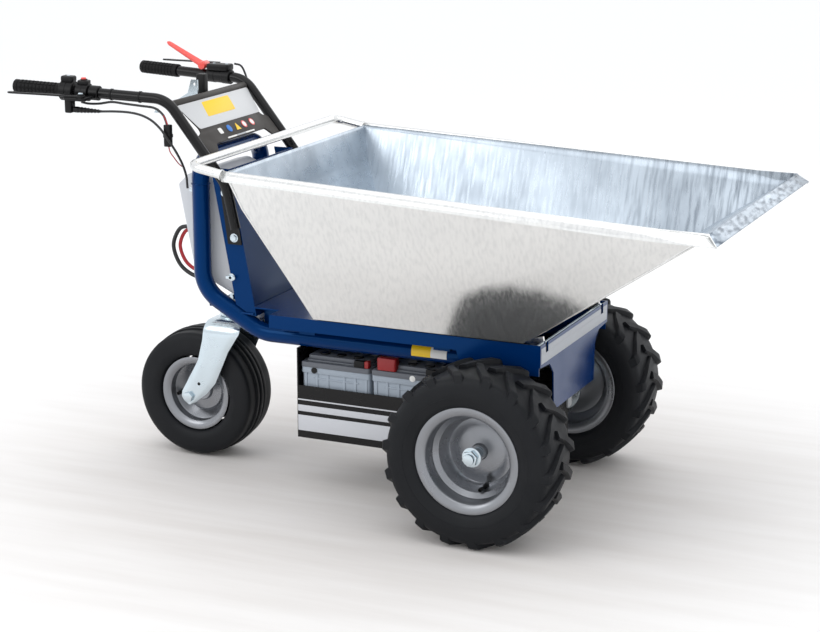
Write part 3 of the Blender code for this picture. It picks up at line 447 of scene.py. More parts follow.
def chevron_lug(radius, half_section, tread, side, start, centre, sign):
    """One bar of the tread: from just past the middle out over the shoulder, swept round and widening, sides
    sloping.
    """
    along = np.linspace(0, 1, 12)
    offset = np.interp(along, [0, 0.72, 0.84, 1.0],
                       [-0.008, tread + 0.002, half_section - 0.0050, half_section - 0.0008])
    top = np.interp(along, [0, 0.4, 0.72, 0.84, 1.0],
                    [radius, radius - 0.0003, radius - 0.0018, radius - 0.0085, radius - 0.040])
    swing = start + np.interp(along, [0, 0.3, 0.72, 1.0], [0, 0.075, 0.235, 0.275])
    wide = np.interp(along, [0, 0.5, 1.0], [0.0085, 0.0095, 0.0120])
    across = [(-1.45, -0.013), (-1.10, -0.003), (-0.92, 0.0), (0.92, 0.0), (1.10, -0.003), (1.45, -0.013)]
    rows = []
    for y, r, a, w in zip(offset, top, swing, wide):
        lean = np.interp(y, [0, tread, half_section], [0.0, 0.35, 1.1])
        ring = []
        for share, drop in across:
            angle = a + share * w / radius
            reach = r + drop * math.cos(lean)
            at = side * (y + drop * math.sin(lean) * 0.6)
            ring.append((reach * math.sin(angle), sign * at, reach * math.cos(angle)))
        rows.append(ring)
    table = np.array(rows) + np.asarray(centre)
    points, faces = grid(table)
    count = len(across)
    return points, faces + [tuple(range(count)), tuple(range(len(points) - count, len(points)))[::-1]]


def drive_tyre(side, sign):
    """The drive tyre: its carcass, two rows of bars half a pitch apart, and a raised ring on each wall."""
    centre = (0, sign * DRIVE_Y, DRIVE_RADIUS)
    section = carcass(DRIVE_RADIUS, DRIVE_BEAD, DRIVE_FLANGE_Y, DRIVE_HALF, DRIVE_TREAD)
    body = lathe(section, centre, "Y", TURN_STEPS, sign)
    lugs = []
    pitch = 2 * math.pi / LUGS_PER_SIDE
    for index in range(LUGS_PER_SIDE):
        for flank, shift in ((1, 0.0), (-1, 0.5)):
            start = (index + shift) * pitch
            lugs.append(chevron_lug(DRIVE_RADIUS, DRIVE_HALF, DRIVE_TREAD, flank, start, centre, sign))
    wall_ring = [(0.147, 0.0803), (0.1475, 0.0818), (0.150, 0.0818), (0.1505, 0.0803)]
    rings = [lathe(wall_ring, centre, "Y", TURN_STEPS, flank) for flank in (1, -1)]
    tyre = merged(body, *lugs, *rings)
    mesh_piece(f"drive_tyre_{side}", tyre, TYRE, f"wheel_{side}", [f"front_tyre_{side}"], 40)


def rim_section(bore, bead, flange, flange_y, disc_y, dish):
    """Hub, dished disc pressed from sheet, drop-centre barrel and a rolled flange each side."""
    wall = 0.003
    out = [(flange, flange_y - 0.001), (flange - 0.0012, flange_y - 0.0045),
           (bead + 0.004, flange_y - 0.0075),
           (bead, flange_y - 0.010), (bead - 0.001, 0.026), (bead - 0.013, 0.017), (bead - 0.013, -0.017),
           (bead - 0.001, -0.026), (bead, -flange_y + 0.010), (bead + 0.004, -flange_y + 0.0075),
           (flange - 0.0012, -flange_y + 0.0045), (flange, -flange_y + 0.001), (flange - 0.003, -flange_y),
           (bead + 0.002, -flange_y + 0.0035), (bead - wall, -flange_y + 0.008),
           (bead - wall - 0.001, -0.027),
           (bead - 0.016, -0.016), (bead - 0.024, -0.010)]
    disc = [(bead - 0.028, disc_y - dish - 0.003), (0.058, disc_y - dish - 0.003), (0.050, disc_y - 0.007),
            (0.036, disc_y - 0.004),
            (0.030, -0.038), (bore, -0.040), (bore, disc_y + 0.009), (0.0235, disc_y + 0.010),
            (0.0255, disc_y + 0.008),
            (0.0265, disc_y + 0.001), (0.036, disc_y), (0.050, disc_y - 0.001), (0.056, disc_y - dish),
            (bead - 0.028, disc_y - dish), (bead - 0.018, 0.016), (bead - wall - 0.001, 0.027),
            (bead - wall, flange_y - 0.008),
            (bead + 0.002, flange_y - 0.0035), (flange - 0.003, flange_y)]
    return out + disc


def deep_rim(bore, bead, flange, flange_y, disc_y):
    """The drive rim: a stepped barrel running in from its outer flange to a dished disc set well inside it,
    and a slim hub.
    """
    outside = [(flange, flange_y - 0.001), (flange - 0.0012, flange_y - 0.0045),
               (bead + 0.004, flange_y - 0.0075),
               (bead, flange_y - 0.010), (bead - 0.001, 0.028), (bead - 0.012, 0.020), (bead - 0.012, -0.030),
               (bead - 0.001, -0.038), (bead, -flange_y + 0.010), (bead + 0.004, -flange_y + 0.0075),
               (flange - 0.0012, -flange_y + 0.0045), (flange, -flange_y + 0.001),
               (flange - 0.003, -flange_y),
               (bead + 0.002, -flange_y + 0.0035), (bead - 0.003, -flange_y + 0.008), (bead - 0.005, -0.040),
               (bead - 0.018, -0.032), (bead - 0.022, disc_y - 0.014), (0.062, disc_y - 0.010),
               (0.050, disc_y - 0.003)]
    hub = [(0.026, disc_y - 0.003), (0.0225, -0.040), (bore, -0.040), (bore, disc_y + 0.009),
           (0.0165, disc_y + 0.009),
           (0.0180, disc_y + 0.007), (0.0195, disc_y + 0.001), (0.026, disc_y)]
    inside = [(0.050, disc_y), (0.060, disc_y - 0.0035), (0.066, disc_y - 0.0065),
              (bead - 0.027, disc_y - 0.0070),
              (bead - 0.020, disc_y - 0.001), (bead - 0.0165, 0.004), (bead - 0.0155, 0.019),
              (bead - 0.0050, 0.029),
              (bead - 0.003, flange_y - 0.010), (bead + 0.0015, flange_y - 0.0045),
              (flange - 0.003, flange_y)]
    return outside + hub + inside


def valve(centre, radius, turn, y, outward, length, name, body):
    """A tyre valve: rubber foot, stem and cap, standing out of the rim."""
    foot = np.asarray(centre) + np.array([radius * math.sin(turn), y, radius * math.cos(turn)])
    tip = foot + np.array([0, outward * length, 0])
    shape = merged(rod(foot - [0, outward * 0.004, 0], foot + [0, outward * length * 0.35, 0], 0.0060, 16,
                       0.0046),
                   rod(foot, tip, 0.0034, 14), rod(tip - [0, outward * 0.012, 0], tip, 0.0050, 12))
    mesh_piece(name, shape, BLACK, body)


def hexagon(centre, axis, across, low, high, bevel=0.0008, turn=0.0):
    """A hexagon head or nut across its corners, run along the axis from low to high."""
    angles = np.arange(6) * math.pi / 3 + turn
    outline = np.stack([across * np.cos(angles), across * np.sin(angles)], 1)
    shape = prism(outline, low, high, bevel, flat(axis))
    return shape[0] + np.asarray(centre, float), shape[1]


def build_wheels():
    """Each drive wheel: its tyre, rim, shaft with flange, washer and nut, and valve."""
    axle_z = DRIVE_RADIUS
    for side, sign in SIDES:
        drive_tyre(side, sign)
        centre = (0, sign * DRIVE_Y, axle_z)
        section = deep_rim(0.0130, DRIVE_BEAD, 0.1215, DRIVE_FLANGE_Y, -0.012)
        mesh_piece(f"drive_rim_{side}", lathe(section, centre, "Y", 96, sign), RIM_PAINT,
                   f"wheel_{side}",
                   [f"front_rim_{side}"], 38)
        shaft = merged(rod((0, sign * 0.070, axle_z), (0, sign * 0.378, axle_z), 0.0125, 32, edge=0.001),
                       rod((0, sign * 0.2065, axle_z), (0, sign * 0.216, axle_z), 0.048, 48, edge=0.001),
                       rod((0, sign * 0.3548, axle_z), (0, sign * 0.3575, axle_z), 0.0225, 36),
                       hexagon((0, 0, axle_z), "Y", 0.0185, sign * 0.3575, sign * 0.3700, 0.0015, 0.3))
        mesh_piece(f"drive_shaft_{side}", shaft, ZINC, f"wheel_{side}", [f"wheel_shaft_{side}"])
        valve(centre, 0.0790, 2.95, sign * -0.016, sign, 0.040, f"drive_valve_{side}", f"wheel_{side}")


def build_caster():
    """The caster wheel: five round ribs standing on a carcass cut back below them, a pressed rim and its
    bolt.
    """
    centre = (CASTER_X, 0, CASTER_RADIUS)
    rib_bed = CASTER_RADIUS - 0.0052
    base = carcass(CASTER_RADIUS + 0.0085, CASTER_BEAD, CASTER_FLANGE_Y, CASTER_HALF, CASTER_TREAD)
    base[:, 0] = np.minimum(base[:, 0], rib_bed)
    body = lathe(base, centre, "Y", TURN_STEPS)
    ribs = []
    for middle, wide in ((0.0, 0.0062), (0.0175, 0.0058), (-0.0175, 0.0058), (0.0345, 0.0050),
                         (-0.0345, 0.0050)):
        crown = CASTER_RADIUS - 0.0018 * (abs(middle) / 0.02) ** 2
        section = [(crown - 0.008, middle - wide - 0.001), (crown - 0.0008, middle - wide),
                   (crown, middle - wide + 0.001),
                   (crown, middle + wide - 0.001), (crown - 0.0008, middle + wide),
                   (crown - 0.008, middle + wide + 0.001)]
        ribs.append(lathe(section, centre, "Y", TURN_STEPS))
    mesh_piece("caster_tyre_ribbed", merged(body, *ribs), TYRE, "caster_wheel", ["caster_tyre"], 40)
    section = rim_section(0.0083, CASTER_BEAD, 0.0926, CASTER_FLANGE_Y, 0.012, 0.010)
    mesh_piece("caster_rim_pressed", lathe(section, centre, "Y", 80, -1), RIM_PAINT, "caster_wheel",
               ["caster_rim"], 38)
    valve(centre, 0.0560, -1.75, -0.010, -1, 0.034, "caster_valve", "caster_wheel")
    bolt = merged(rod(centre - np.array([0, 0.0885, 0]), centre + np.array([0, 0.0885, 0]), 0.0078, 20),
                  *[hexagon(centre, "Y", 0.0132, s * 0.0845, s * 0.0932, 0.001, 0.2) for s in (1, -1)])
    mesh_piece("caster_axle_bolt", bolt, ZINC, "caster", ["caster_axle"])
    build_fork()


FORK_REAR = ((0.140, -0.872), (0.146, -0.884), (0.158, -0.8915), (0.172, -0.8895), (0.200, -0.8735),
             (0.255, -0.843),
             (0.310, -0.829), (0.356, -0.824))
FORK_FRONT = ((0.140, -0.865), (0.146, -0.852), (0.158, -0.838), (0.172, -0.820), (0.200, -0.796),
              (0.255, -0.771),
              (0.285, -0.758), (0.333, -0.727), (0.356, -0.727))


def build_fork():
    """The pressed fork: a plate's section carried down one leg, over the crown and down the other, its edges
    tapered thin.
    """
    bend, half, thick = 0.030, 0.0812, 0.003
    heights = np.concatenate([np.linspace(0.140, 0.172, 9), np.linspace(0.180, 0.326, 22)])
    path = [(-half, z, -1.0, 0.0) for z in heights]
    path += [(-half + bend - bend * math.cos(a), 0.326 + bend * math.sin(a), -math.cos(a), math.sin(a))
             for a in np.linspace(0, math.pi / 2, 10)[1:]]
    path += [(-y, z, -ny, nz) for y, z, ny, nz in reversed(path)]
    z_rear, x_rear = zip(*FORK_REAR)
    z_front, x_front = zip(*FORK_FRONT)
    rows = []
    for y, z, ny, nz in path:
        rear, front = np.interp(z, z_rear, x_rear), np.interp(z, z_front, x_front)
        across = np.linspace(0, 1, 9)
        x = rear + (front - rear) * across
        edge = np.array([0.0, 0.8, 1, 1, 1, 1, 1, 0.8, 0.0]) * thick
        outer = np.stack([x, y + ny * edge, z + nz * edge], 1)
        inner = np.stack([x, y - ny * edge, z - nz * edge], 1)[::-1]
        rows.append(np.vstack([outer, inner[1:-1]]))
    points, faces = grid(np.array(rows), wrap_columns=True)
    count = len(rows[0])
    faces = faces + [tuple(range(count))[::-1], tuple(range(len(points) - count, len(points)))]
    pin = rod((KING_PIN_X, 0, 0.350), (KING_PIN_X, 0, 0.412), 0.008, 24)
    # The fork's holes are dark discs on the legs: painted shade standing in for the openings.
    eyes = [rod((-0.840, s * 0.0838, 0.196), (-0.840, s * 0.0845, 0.196), 0.0042, 20, edge=0.0002)
            for s in (1, -1)]
    mesh_piece("fork_pressed", merged((points, faces), pin), ZINC, "caster", ["caster_fork"], 40)
    mesh_piece("fork_holes", merged(*eyes), PAINTED_SHADE, "caster")
    race = [(0.009, 0), (0.033, 0), (0.034, 0.001), (0.034, 0.011), (0.0325, 0.0125), (0.0305, 0.0135),
            (0.0315, 0.016),
            (0.0315, 0.0275), (0.0305, 0.0285), (0.009, 0.0285)]
    mesh_piece("swivel_race_ring", lathe(race, (KING_PIN_X, 0, 0.3593), "Z", 64), ZINC, "chassis",
               ["swivel_race"])


# ---------------------------------------------------------------- tub
BOTTOM_REAR, BOTTOM_FRONT = (-0.447, 0.232, 0.4378), (0.068, 0.232, 0.4378)
KNEE, RIM_REAR = (-0.573, 0.329, 0.704), (-0.597, 0.359, 0.790)
LIP, LIP_EDGE, RIM_EDGE = (0.516, 0.364, 0.7455), (0.5385, 0.385, 0.7266), (-0.597, 0.380, 0.779)
HEM_END = 0.80


def patch(a, b, c, d, rows=12, columns=12):
    """The ruled surface whose corners run a, b along its first row and d, c along its last."""
    a, b, c, d = (np.asarray(p, float) for p in (a, b, c, d))
    u, v = np.linspace(0, 1, columns)[None, :, None], np.linspace(0, 1, rows)[:, None, None]
    return (1 - v) * ((1 - u) * a + u * b) + v * ((1 - u) * d + u * c)


def across(p):
    """The same point on the other side of the machine."""
    return (p[0], -p[1], p[2])


def hem(sign):
    """The rolled side rim: its arched section slowly flattens into a plain flange at the front corner."""
    along = np.linspace(0, 1, 60)
    turn = np.linspace(0, 1, 13)
    inner, outer = np.array(RIM_REAR), np.array(RIM_EDGE)
    inner_end, outer_end = np.array(LIP), np.array(LIP_EDGE)
    rows = []
    for s in along:
        a, b = inner + (inner_end - inner) * s, outer + (outer_end - outer) * s
        roll = 1 - np.clip((s - HEM_END) / (1 - HEM_END), 0, 1) ** 1.5
        arch = np.sin(turn * math.pi) ** 0.8 * 0.0085 * roll
        line = a + np.outer(turn, b - a)
        line[:, 2] += arch
        under = [b - [0, 0.0012 * roll, 0.0060 * roll + 0.0012],
                 b - [0, 0.0070 * roll + 0.002, 0.0080 * roll + 0.0012],
                 b - [0, 0.013 * roll + 0.004, 0.003 * roll + 0.001]]
        rows.append(np.vstack([line, under]))
    table = np.array(rows)
    table[:, :, 1] *= sign
    return grid(table)


def build_tub():
    """Folded sheet, outside and inside as separate faces one sheet apart, with rolled hems and corner welds.
    """
    rear, front = BOTTOM_REAR, BOTTOM_FRONT
    panels = [patch(rear, front, across(front), across(rear)),
              patch(rear, across(rear), across(KNEE), KNEE),
              patch(KNEE, across(KNEE), across(RIM_REAR), RIM_REAR),
              patch(front, LIP, across(LIP), across(front)),
              patch(LIP, LIP_EDGE, across(LIP_EDGE), across(LIP))]
    for flip in (lambda p: p, across):
        corner, lip, rim, knee = (flip(p) for p in (rear, LIP, RIM_REAR, KNEE))
        panels += [patch(corner, flip(front), lip, lip), patch(corner, lip, rim, knee)]
    shape = merged(*[grid(p) for p in panels])
    # The inner shell takes the second finish, the inside galvanising with its painted shade and painted
    # reflection.
    made = mesh_piece("tub_sheet", shape, [OUTSIDE, INSIDE_PAINTED_SHADE], "tub_body", ["tub"], 20)
    work = bmesh.new()
    work.from_mesh(made.data)
    bmesh.ops.remove_doubles(work, verts=work.verts, dist=0.0002)
    bmesh.ops.dissolve_degenerate(work, dist=0.00005, edges=work.edges)
    bmesh.ops.recalc_face_normals(work, faces=work.faces)
    lowest = min(work.faces, key=lambda face: face.calc_center_median().z)
    if lowest.normal.z > 0:
        bmesh.ops.reverse_faces(work, faces=work.faces)
    work.to_mesh(made.data)
    work.free()
    made.data.set_sharp_from_angle(angle=math.radians(12))
    wall = made.modifiers.new("sheet", "SOLIDIFY")
    wall.thickness = TUB_SHEET
    wall.offset = -1
    wall.use_even_offset = True
    wall.material_offset = 1
    hems = mesh_piece("tub_hems", merged(hem(1), hem(-1)), OUTSIDE, "tub_body")
    wall = hems.modifiers.new("sheet", "SOLIDIFY")
    wall.thickness = HEM_SHEET
    wall.offset = -1
    seam_ends = (((*RIM_REAR[:2], RIM_REAR[2] - 0.004), KNEE), (KNEE, (*rear[:2], rear[2] + 0.006)),
                 ((front[0] + 0.012, front[1], front[2] + 0.008), (*LIP[:2], LIP[2] - 0.004)))
    seams = []
    for start, end in seam_ends:
        for flip in (lambda p: p, across):
            seams.append(bead(flip(start), flip(end), 0.0024))
    mesh_piece("tub_corner_welds", merged(*seams), OUTSIDE, "tub_body")
    y0 = RIM_EDGE[1] - 0.0125
    corners = [(TIPPING_BAR_ROOT_X, -y0, TIPPING_BAR_ROOT_Z), (TIPPING_BAR_X, -TIPPING_BAR_Y, TIPPING_BAR_Z),
               (TIPPING_BAR_X, TIPPING_BAR_Y, TIPPING_BAR_Z), (TIPPING_BAR_ROOT_X, y0, TIPPING_BAR_ROOT_Z)]
    mesh_piece("tub_tipping_bar", sweep(rounded(corners, (0.030, 0.030), 14), TIPPING_BAR_RADIUS, 32),
               OUTSIDE, "tub_body",
               ["tub_handle_bar"])
    collars = [rod((-0.6010, s * y0, 0.785), (-0.6045, s * y0, 0.7856), 0.0125, 24) for s in (1, -1)]
    mesh_piece("tipping_bar_welds", merged(*collars), OUTSIDE, "tub_body")


def bead(start, end, radius, pitch=0.0035):
    """A weld bead: a thin round line whose radius swells once per ripple."""
    start, end = np.asarray(start, float), np.asarray(end, float)
    length = np.linalg.norm(end - start)
    count = max(6, int(length / pitch) * 4)
    at = np.linspace(0, 1, count)
    ripple = 1 + 0.16 * np.abs(np.sin(at * length / pitch * math.pi))
    return sweep(start + np.outer(at, end - start), radius * ripple * 0.85, 8)


def ring_bead(centre, first, second, radius, pitch=0.0035):
    """A weld bead round a tube, spanned by two axis vectors of the ring's size."""
    size = np.linalg.norm(first)
    count = max(12, int(size * 2 * math.pi / pitch) * 4)
    angle = np.linspace(0, 2 * math.pi, count)
    path = np.asarray(centre) + np.outer(np.cos(angle), first) + np.outer(np.sin(angle), second)
    ripple = 1 + 0.16 * np.abs(np.sin(angle * size / pitch * math.pi))
    return sweep(path, radius * ripple * 0.85, 8)


# ---------------------------------------------------------------- frame and chassis
def build_frame():
    """Side tubes and hoop as smooth tubes, with the weld beads where plates meet them."""
    for side, sign in SIDES:
        y = sign * TUBE_Y
        corners = [(COLUMN_X, y, COLUMN_TOP_Z), (COLUMN_X, y, 0.459), (-0.624, y, RAIL_Z), (0.050, y, RAIL_Z)]
        mesh_piece(f"side_tube_{side}", sweep(rounded(corners, (0.080, 0.110), 16), TUBE_RADIUS, 40), BLUE,
                   "chassis",
                   [f"frame_tube_{side}"])
        plug = rod((0.0495, y, RAIL_Z), (0.0525, y, RAIL_Z), 0.0200, 32)
        mesh_piece(f"tube_plug_{side}", plug, BLACK, "chassis")
        beads = [bead((-0.640, sign * 0.162, 0.4125), (-0.690, sign * 0.162, 0.4125), 0.0030),
                 bead((-0.560, sign * 0.1708, 0.3865), (-0.500, sign * 0.1708, 0.3865), 0.0026),
                 bead((-0.165, sign * 0.1708, 0.3865), (-0.115, sign * 0.1708, 0.3865), 0.0026),
                 ring_bead((COLUMN_X, y, COLUMN_TOP_Z), (0.0216, 0, 0), (0, 0.0216, 0), 0.0020)]
        mesh_piece(f"frame_welds_{side}", merged(*beads), BLUE, "chassis")
    foot_z = COLUMN_TOP_Z + 0.0003
    hoop = [(COLUMN_X, -TUBE_Y, foot_z), (COLUMN_X, -TUBE_Y, HOOP_TOP_Z), (COLUMN_X, TUBE_Y, HOOP_TOP_Z),
            (COLUMN_X, TUBE_Y, foot_z)]
    mesh_piece("hoop_tube", sweep(rounded(hoop, (0.055, 0.055), 16), TUBE_RADIUS, 40), BLUE, "chassis",
               ["frame_hoop"])


def build_bulkhead():
    """The folded sheet keeps its CAD shape, with a zinc wing screw on each side."""
    repaint("bulkhead", BLUE, 0.0012)
    screws = []
    x, z = -0.698, 0.497
    for sign in (1, -1):
        y = sign * 0.1600
        near, far = sorted((y + sign * 0.006, y + sign * 0.009))
        screws += [rod((x, y, z), (x, y + sign * 0.0025, z), 0.0090, 24),
                   rod((x, y, z), (x, y + sign * 0.009, z), 0.0042, 16),
                   box((x - 0.0125, near, z - 0.004), (x + 0.0125, far, z + 0.004), 0.001)]
    mesh_piece("wing_screws", merged(*screws), ZINC, "chassis")


def build_chassis():
    """Blue plates and zinc lugs as the CAD has them, the front band and tab, rail labels and bracket
    bolts.
    """
    for node in ("side_member_left", "side_member_right", "bed_plate", "caster_bracket", "front_plate"):
        repaint(node, BLUE, 0.0008)
    # The band is notched like the plate behind it, so that each hinge lug swings clear.
    spans = [(-0.2200, -0.1930), (-0.1770, 0.1770), (0.1930, 0.2200)]
    strips = [box((0.1073, low, 0.4118), (0.1079, high, 0.426), 0.0001) for low, high in spans]
    strips.append(box((0.1073, -0.2200, 0.390), (0.1079, 0.2200, 0.4118), 0.0001))
    mesh_piece("front_band", merged(*strips), GREY_PRINT, "chassis")
    tab = box((0.1015, -0.036, 0.240), (0.1065, -0.012, 0.265), 0.0012)
    mesh_piece("front_tab", tab, CAST, "chassis")
    repaint("hinge_pin", ZINC)
    angle = np.linspace(-0.35, 0.95, 14)
    arc = np.stack([np.cos(angle), np.sin(angle)], 1) * (TUBE_RADIUS + 0.0003)
    for label, x0, x1, finish in (("yellow", -0.228, -0.180, YELLOW), ("white", -0.180, -0.140, WHITE)):
        rows = [np.stack([np.full(len(arc), x), -TUBE_Y - arc[:, 0], RAIL_Z + arc[:, 1]], 1)
                for x in (x0, x1)]
        mesh_piece(f"rail_label_{label}", grid(np.array(rows)), finish, "chassis")
    for side, sign in SIDES:
        repaint(f"hinge_lug_{side}", OUTSIDE, 0.0006)
        repaint(f"handle_bracket_{side}", BLACK_PAINT, 0.0008)
        for level, (x, z) in (("upper", (-0.708, 0.700)), ("lower", (-0.686, 0.594))):
            face = 0.160 + 0.0066
            bolt = merged(rod((x, sign * 0.1603, z), (x, sign * (face + 0.002), z), 0.0050, 16),
                          rod((x, sign * face, z), (x, sign * (face + 0.0012), z), 0.0105, 28, edge=0.0003),
                          hexagon((x, 0, z), "Y", 0.0085, sign * (face + 0.0012), sign * (face + 0.0062),
                                  0.0009, 0.5))
            mesh_piece(f"bracket_bolt_{side}_{level}", bolt, ZINC, "chassis",
                       [f"handle_bolt_{side}_{level}"])


def build_cover():
    """The column's grey cover and the controller keep their CAD shapes, with three screws on each side."""
    repaint("rear_cover", COVER, 0.003)
    repaint("motor_controller", CAST, 0.003)
    screws = [rod((x, s * 0.1200, z), (x, s * 0.1222, z), 0.0055, 20) for s in (1, -1)
              for x, z in ((-0.790, 0.515), (-0.825, 0.690), (-0.735, 0.690))]
    mesh_piece("cover_screws", merged(*screws), ZINC, "chassis")


def build_drive():
    """The transaxle keeps its CAD shape; the motor is a can between two end caps."""
    # Painted shade: the transaxle gets the black paint because the space under the front plate between the
    # wheels lies in deep shade.
    repaint("transaxle", BLACK_PAINT, 0.002)
    x, z = -0.095, 0.270
    motor = merged(rod((x, -0.150, z), (x, -0.134, z), 0.0365, 48, edge=0.002),
                   rod((x, -0.136, z), (x, 0.040, z), 0.0380, 64, edge=0.001),
                   rod((x, 0.038, z), (x, 0.060, z), 0.0385, 48, edge=0.002))
    mesh_piece("motor_can", motor, BLACK_PAINT, "chassis", ["drive_motor"])


# ---------------------------------------------------------------- batteries
def build_batteries():
    """Each battery: a ribbed pale case, a stepped lid, terminal housings, caps and a plug."""
    repaint("battery_tray", BLACK_PAINT, 0.0008)
    for name, (x0, x1) in (("battery_rear", (-0.5145, -0.3365)), ("battery_front", (-0.3320, -0.1540))):
        case = [box((x0 + 0.002, -0.1605, 0.1315), (x1 - 0.002, 0.1605, 0.300), 0.002, 0.006),
                box((x0 + 0.0005, -0.1640, 0.2860), (x1 - 0.0005, 0.1640, 0.3010), 0.0015, 0.006)]
        width = x1 - x0
        for share in (0.06, 0.22, 0.38, 0.62, 0.78, 0.94):
            x = x0 + share * width
            for s in (1, -1):
                near, far = sorted((s * 0.158, s * 0.1625))
                case.append(box((x - 0.0035, near, 0.133), (x + 0.0035, far, 0.287), 0.0012))
        for s in (1, -1):
            near, far = sorted((s * 0.158, s * 0.1622))
            case.append(box((x0 + 0.030, near, 0.272), (x1 - 0.030, far, 0.276), 0.001))
        mesh_piece(f"{name}_case", merged(*case), CASE, "chassis", [name])
        lid = [box((x0, -0.1665, 0.3005), (x1, 0.1665, 0.3135), 0.002, 0.007),
               box((x0 + 0.010, -0.156, 0.3130), (x1 - 0.010, 0.156, 0.3180), 0.0015, 0.008)]
        for s in (1, -1):
            low, high = sorted((s * 0.060, s * 0.150))
            lid.append(box((x0 + 0.012, low, 0.3175), (x1 - 0.012, high, 0.3270), 0.002, 0.006))
        mesh_piece(f"{name}_lid", merged(*lid), LID, "chassis")
        caps = [rod((x, s * y, 0.3265), (x, s * y, 0.3308), 0.0115, 28, edge=0.001)
                for s in (1, -1) for y in (0.082, 0.128) for x in (x0 + 0.045, 0.5 * (x0 + x1), x1 - 0.045)]
        mesh_piece(f"{name}_caps", merged(*caps), BLACK, "chassis")
        plug_x, plug_z = (-0.480, 0.294) if name == "battery_rear" else (-0.227, 0.304)
        plug = rod((plug_x, -0.1668, plug_z), (plug_x, -0.1645, plug_z), 0.0075, 24)
        # The rear battery's vent opening is a dark disc, painted shade; the front battery's plug is white.
        mesh_piece(f"{name}_plug", plug, PAINTED_SHADE if name == "battery_rear" else WHITE, "chassis")
        block = box((x1 - 0.040, -0.1660, 0.3140), (x1 - 0.014, -0.1520, 0.3300), 0.0015)
        mesh_piece(f"{name}_terminal", block, BLACK, "chassis")
    cap = merged(box((-0.3180, -0.1660, 0.3140), (-0.2700, -0.1420, 0.3440), 0.003, 0.006),
                 box((-0.3500, -0.1655, 0.3140), (-0.3395, -0.1500, 0.3305), 0.0015))
    mesh_piece("terminal_caps", cap, CAP_RED, "chassis")
    stripes = [box((-0.5205, -0.1723, low), (-0.1485, -0.1719, high), 0.0001)
               for low, high in ((0.2200, 0.2232), (0.1930, 0.2085), (0.1455, 0.1835))]
    mesh_piece("tray_bands", merged(*stripes), BAND, "chassis")


# ---------------------------------------------------------------- handlebars and controls
BAR_DIRECTION = np.array([-1.0, BAR_SPREAD, BAR_RISE]) / math.sqrt(1 + BAR_SPREAD**2 + BAR_RISE**2)


def bar_point(x, sign):
    """A point on the level part of a handlebar's axis."""
    run = BAR_BEND_X - x
    return np.array([x, sign * (BAR_Y + BAR_SPREAD * run), BAR_BEND_Z + BAR_RISE * run])


def bar_axes(sign):
    """The bar's own axes: along it to its end, out to its side, and up from it."""
    along = BAR_DIRECTION * [1, sign, 1]
    out = np.cross(along, (0, 0, 1.0)) * -sign
    out /= np.linalg.norm(out)
    up = np.cross(along, out) * sign
    return along, out, up if up[2] > 0 else -up


def on_bar(shape, x, sign):
    """A shape drawn with x along the bar, y outwards and z up, set on the bar at x."""
    along, out, up = bar_axes(sign)
    points, faces = placed(shape, bar_point(x, sign), along, out, up)
    if np.linalg.det(np.array([along, out, up])) < 0:
        faces = [tuple(reversed(face)) for face in faces]
    return points, faces


def turned_on_bar(profile, x, sign, steps=48):
    """A (radius, distance along the bar) section turned round the bar."""
    turn = np.linspace(0, 2 * math.pi, steps, endpoint=False)
    profile = np.asarray(profile, float)
    table = np.stack([np.broadcast_to(profile[:, 1], (steps, len(profile))),
                      np.outer(np.cos(turn), profile[:, 0]),
                      np.outer(np.sin(turn), profile[:, 0])], axis=-1)
    return on_bar(grid(table, wrap_rows=True, wrap_columns=True), x, sign)


def grip_shape(x, sign, length, radius=0.0165, inner=BAR_BORE):
    """A rubber grip: a smooth collar, rows of raised squares, and a rounded end."""
    profile = [(inner, 0), (radius - 0.0005, 0), (radius, 0.0015), (radius, 0.010), (radius - 0.0018, 0.0115),
               (radius - 0.0018, length - 0.012), (radius - 0.0004, length - 0.011),
               (radius - 0.0004, length - 0.003),
               (radius - 0.002, length - 0.0008), (0.006, length), (0.006, length - 0.006),
               (inner, length - 0.007)]
    shapes = [turned_on_bar(profile, x, sign)]
    for row in np.arange(0.0175, length - 0.016, 0.0098):
        for turn in np.arange(10) * math.pi / 5:
            cosine, sine = math.cos(turn), math.sin(turn)
            stud = box((-0.0036, -0.0036, radius - 0.0040), (0.0036, 0.0036, radius - 0.0004), 0.0008)
            points, faces = placed(stud, (row, 0, 0), (1, 0, 0), (0, cosine, sine), (0, -sine, cosine))
            shapes.append(on_bar((points, faces), x, sign))
    return merged(*shapes)


def build_handlebars():
    """Two bent bars with their rubber grips, the cable ties and a screw."""
    path = [(-0.669, 0.622), (-0.692, 0.724), (BAR_BEND_X, BAR_BEND_Z)]
    for side, sign in SIDES:
        end = -1.229 if side == "right" else -1.146
        corners = [(x, sign * BAR_Y, z) for x, z in path] + [bar_point(end, sign)]
        mesh_piece(f"bar_{side}", sweep(rounded(corners, (0.090, 0.070), 16), BAR_RADIUS, 32), BLACK_PAINT,
                   "chassis",
                   [f"handlebar_{side}"])
    mesh_piece("grip_left_rubber", grip_shape(-1.045, 1, 0.113), GRIP, "chassis",
               ["grip_left"])
    mesh_piece("throttle_grip_rubber", grip_shape(-1.117, -1, 0.126), GRIP, "throttle",
               ["throttle_grip"])
    ties = []
    for x in (-0.912, -0.986):
        ties += [turned_on_bar([(0.0126, -0.0022), (0.0139, -0.0020), (0.0139, 0.0020), (0.0126, 0.0022)], x,
                               -1),
                 on_bar(box((-0.0028, 0.0125, -0.0030), (0.0028, 0.0175, 0.0030), 0.0006), x, -1)]
    mesh_piece("cable_ties", merged(*ties), BLACK, "chassis")
    x, y = -0.868, -0.196
    screw = merged(rod((x, y, 0.8925), (x, y, 0.8835), 0.0045, 18),
                   rod((x, y, 0.8855), (x, y, 0.8835), 0.0068, 6))
    mesh_piece("bar_screw", screw, ZINC, "chassis")


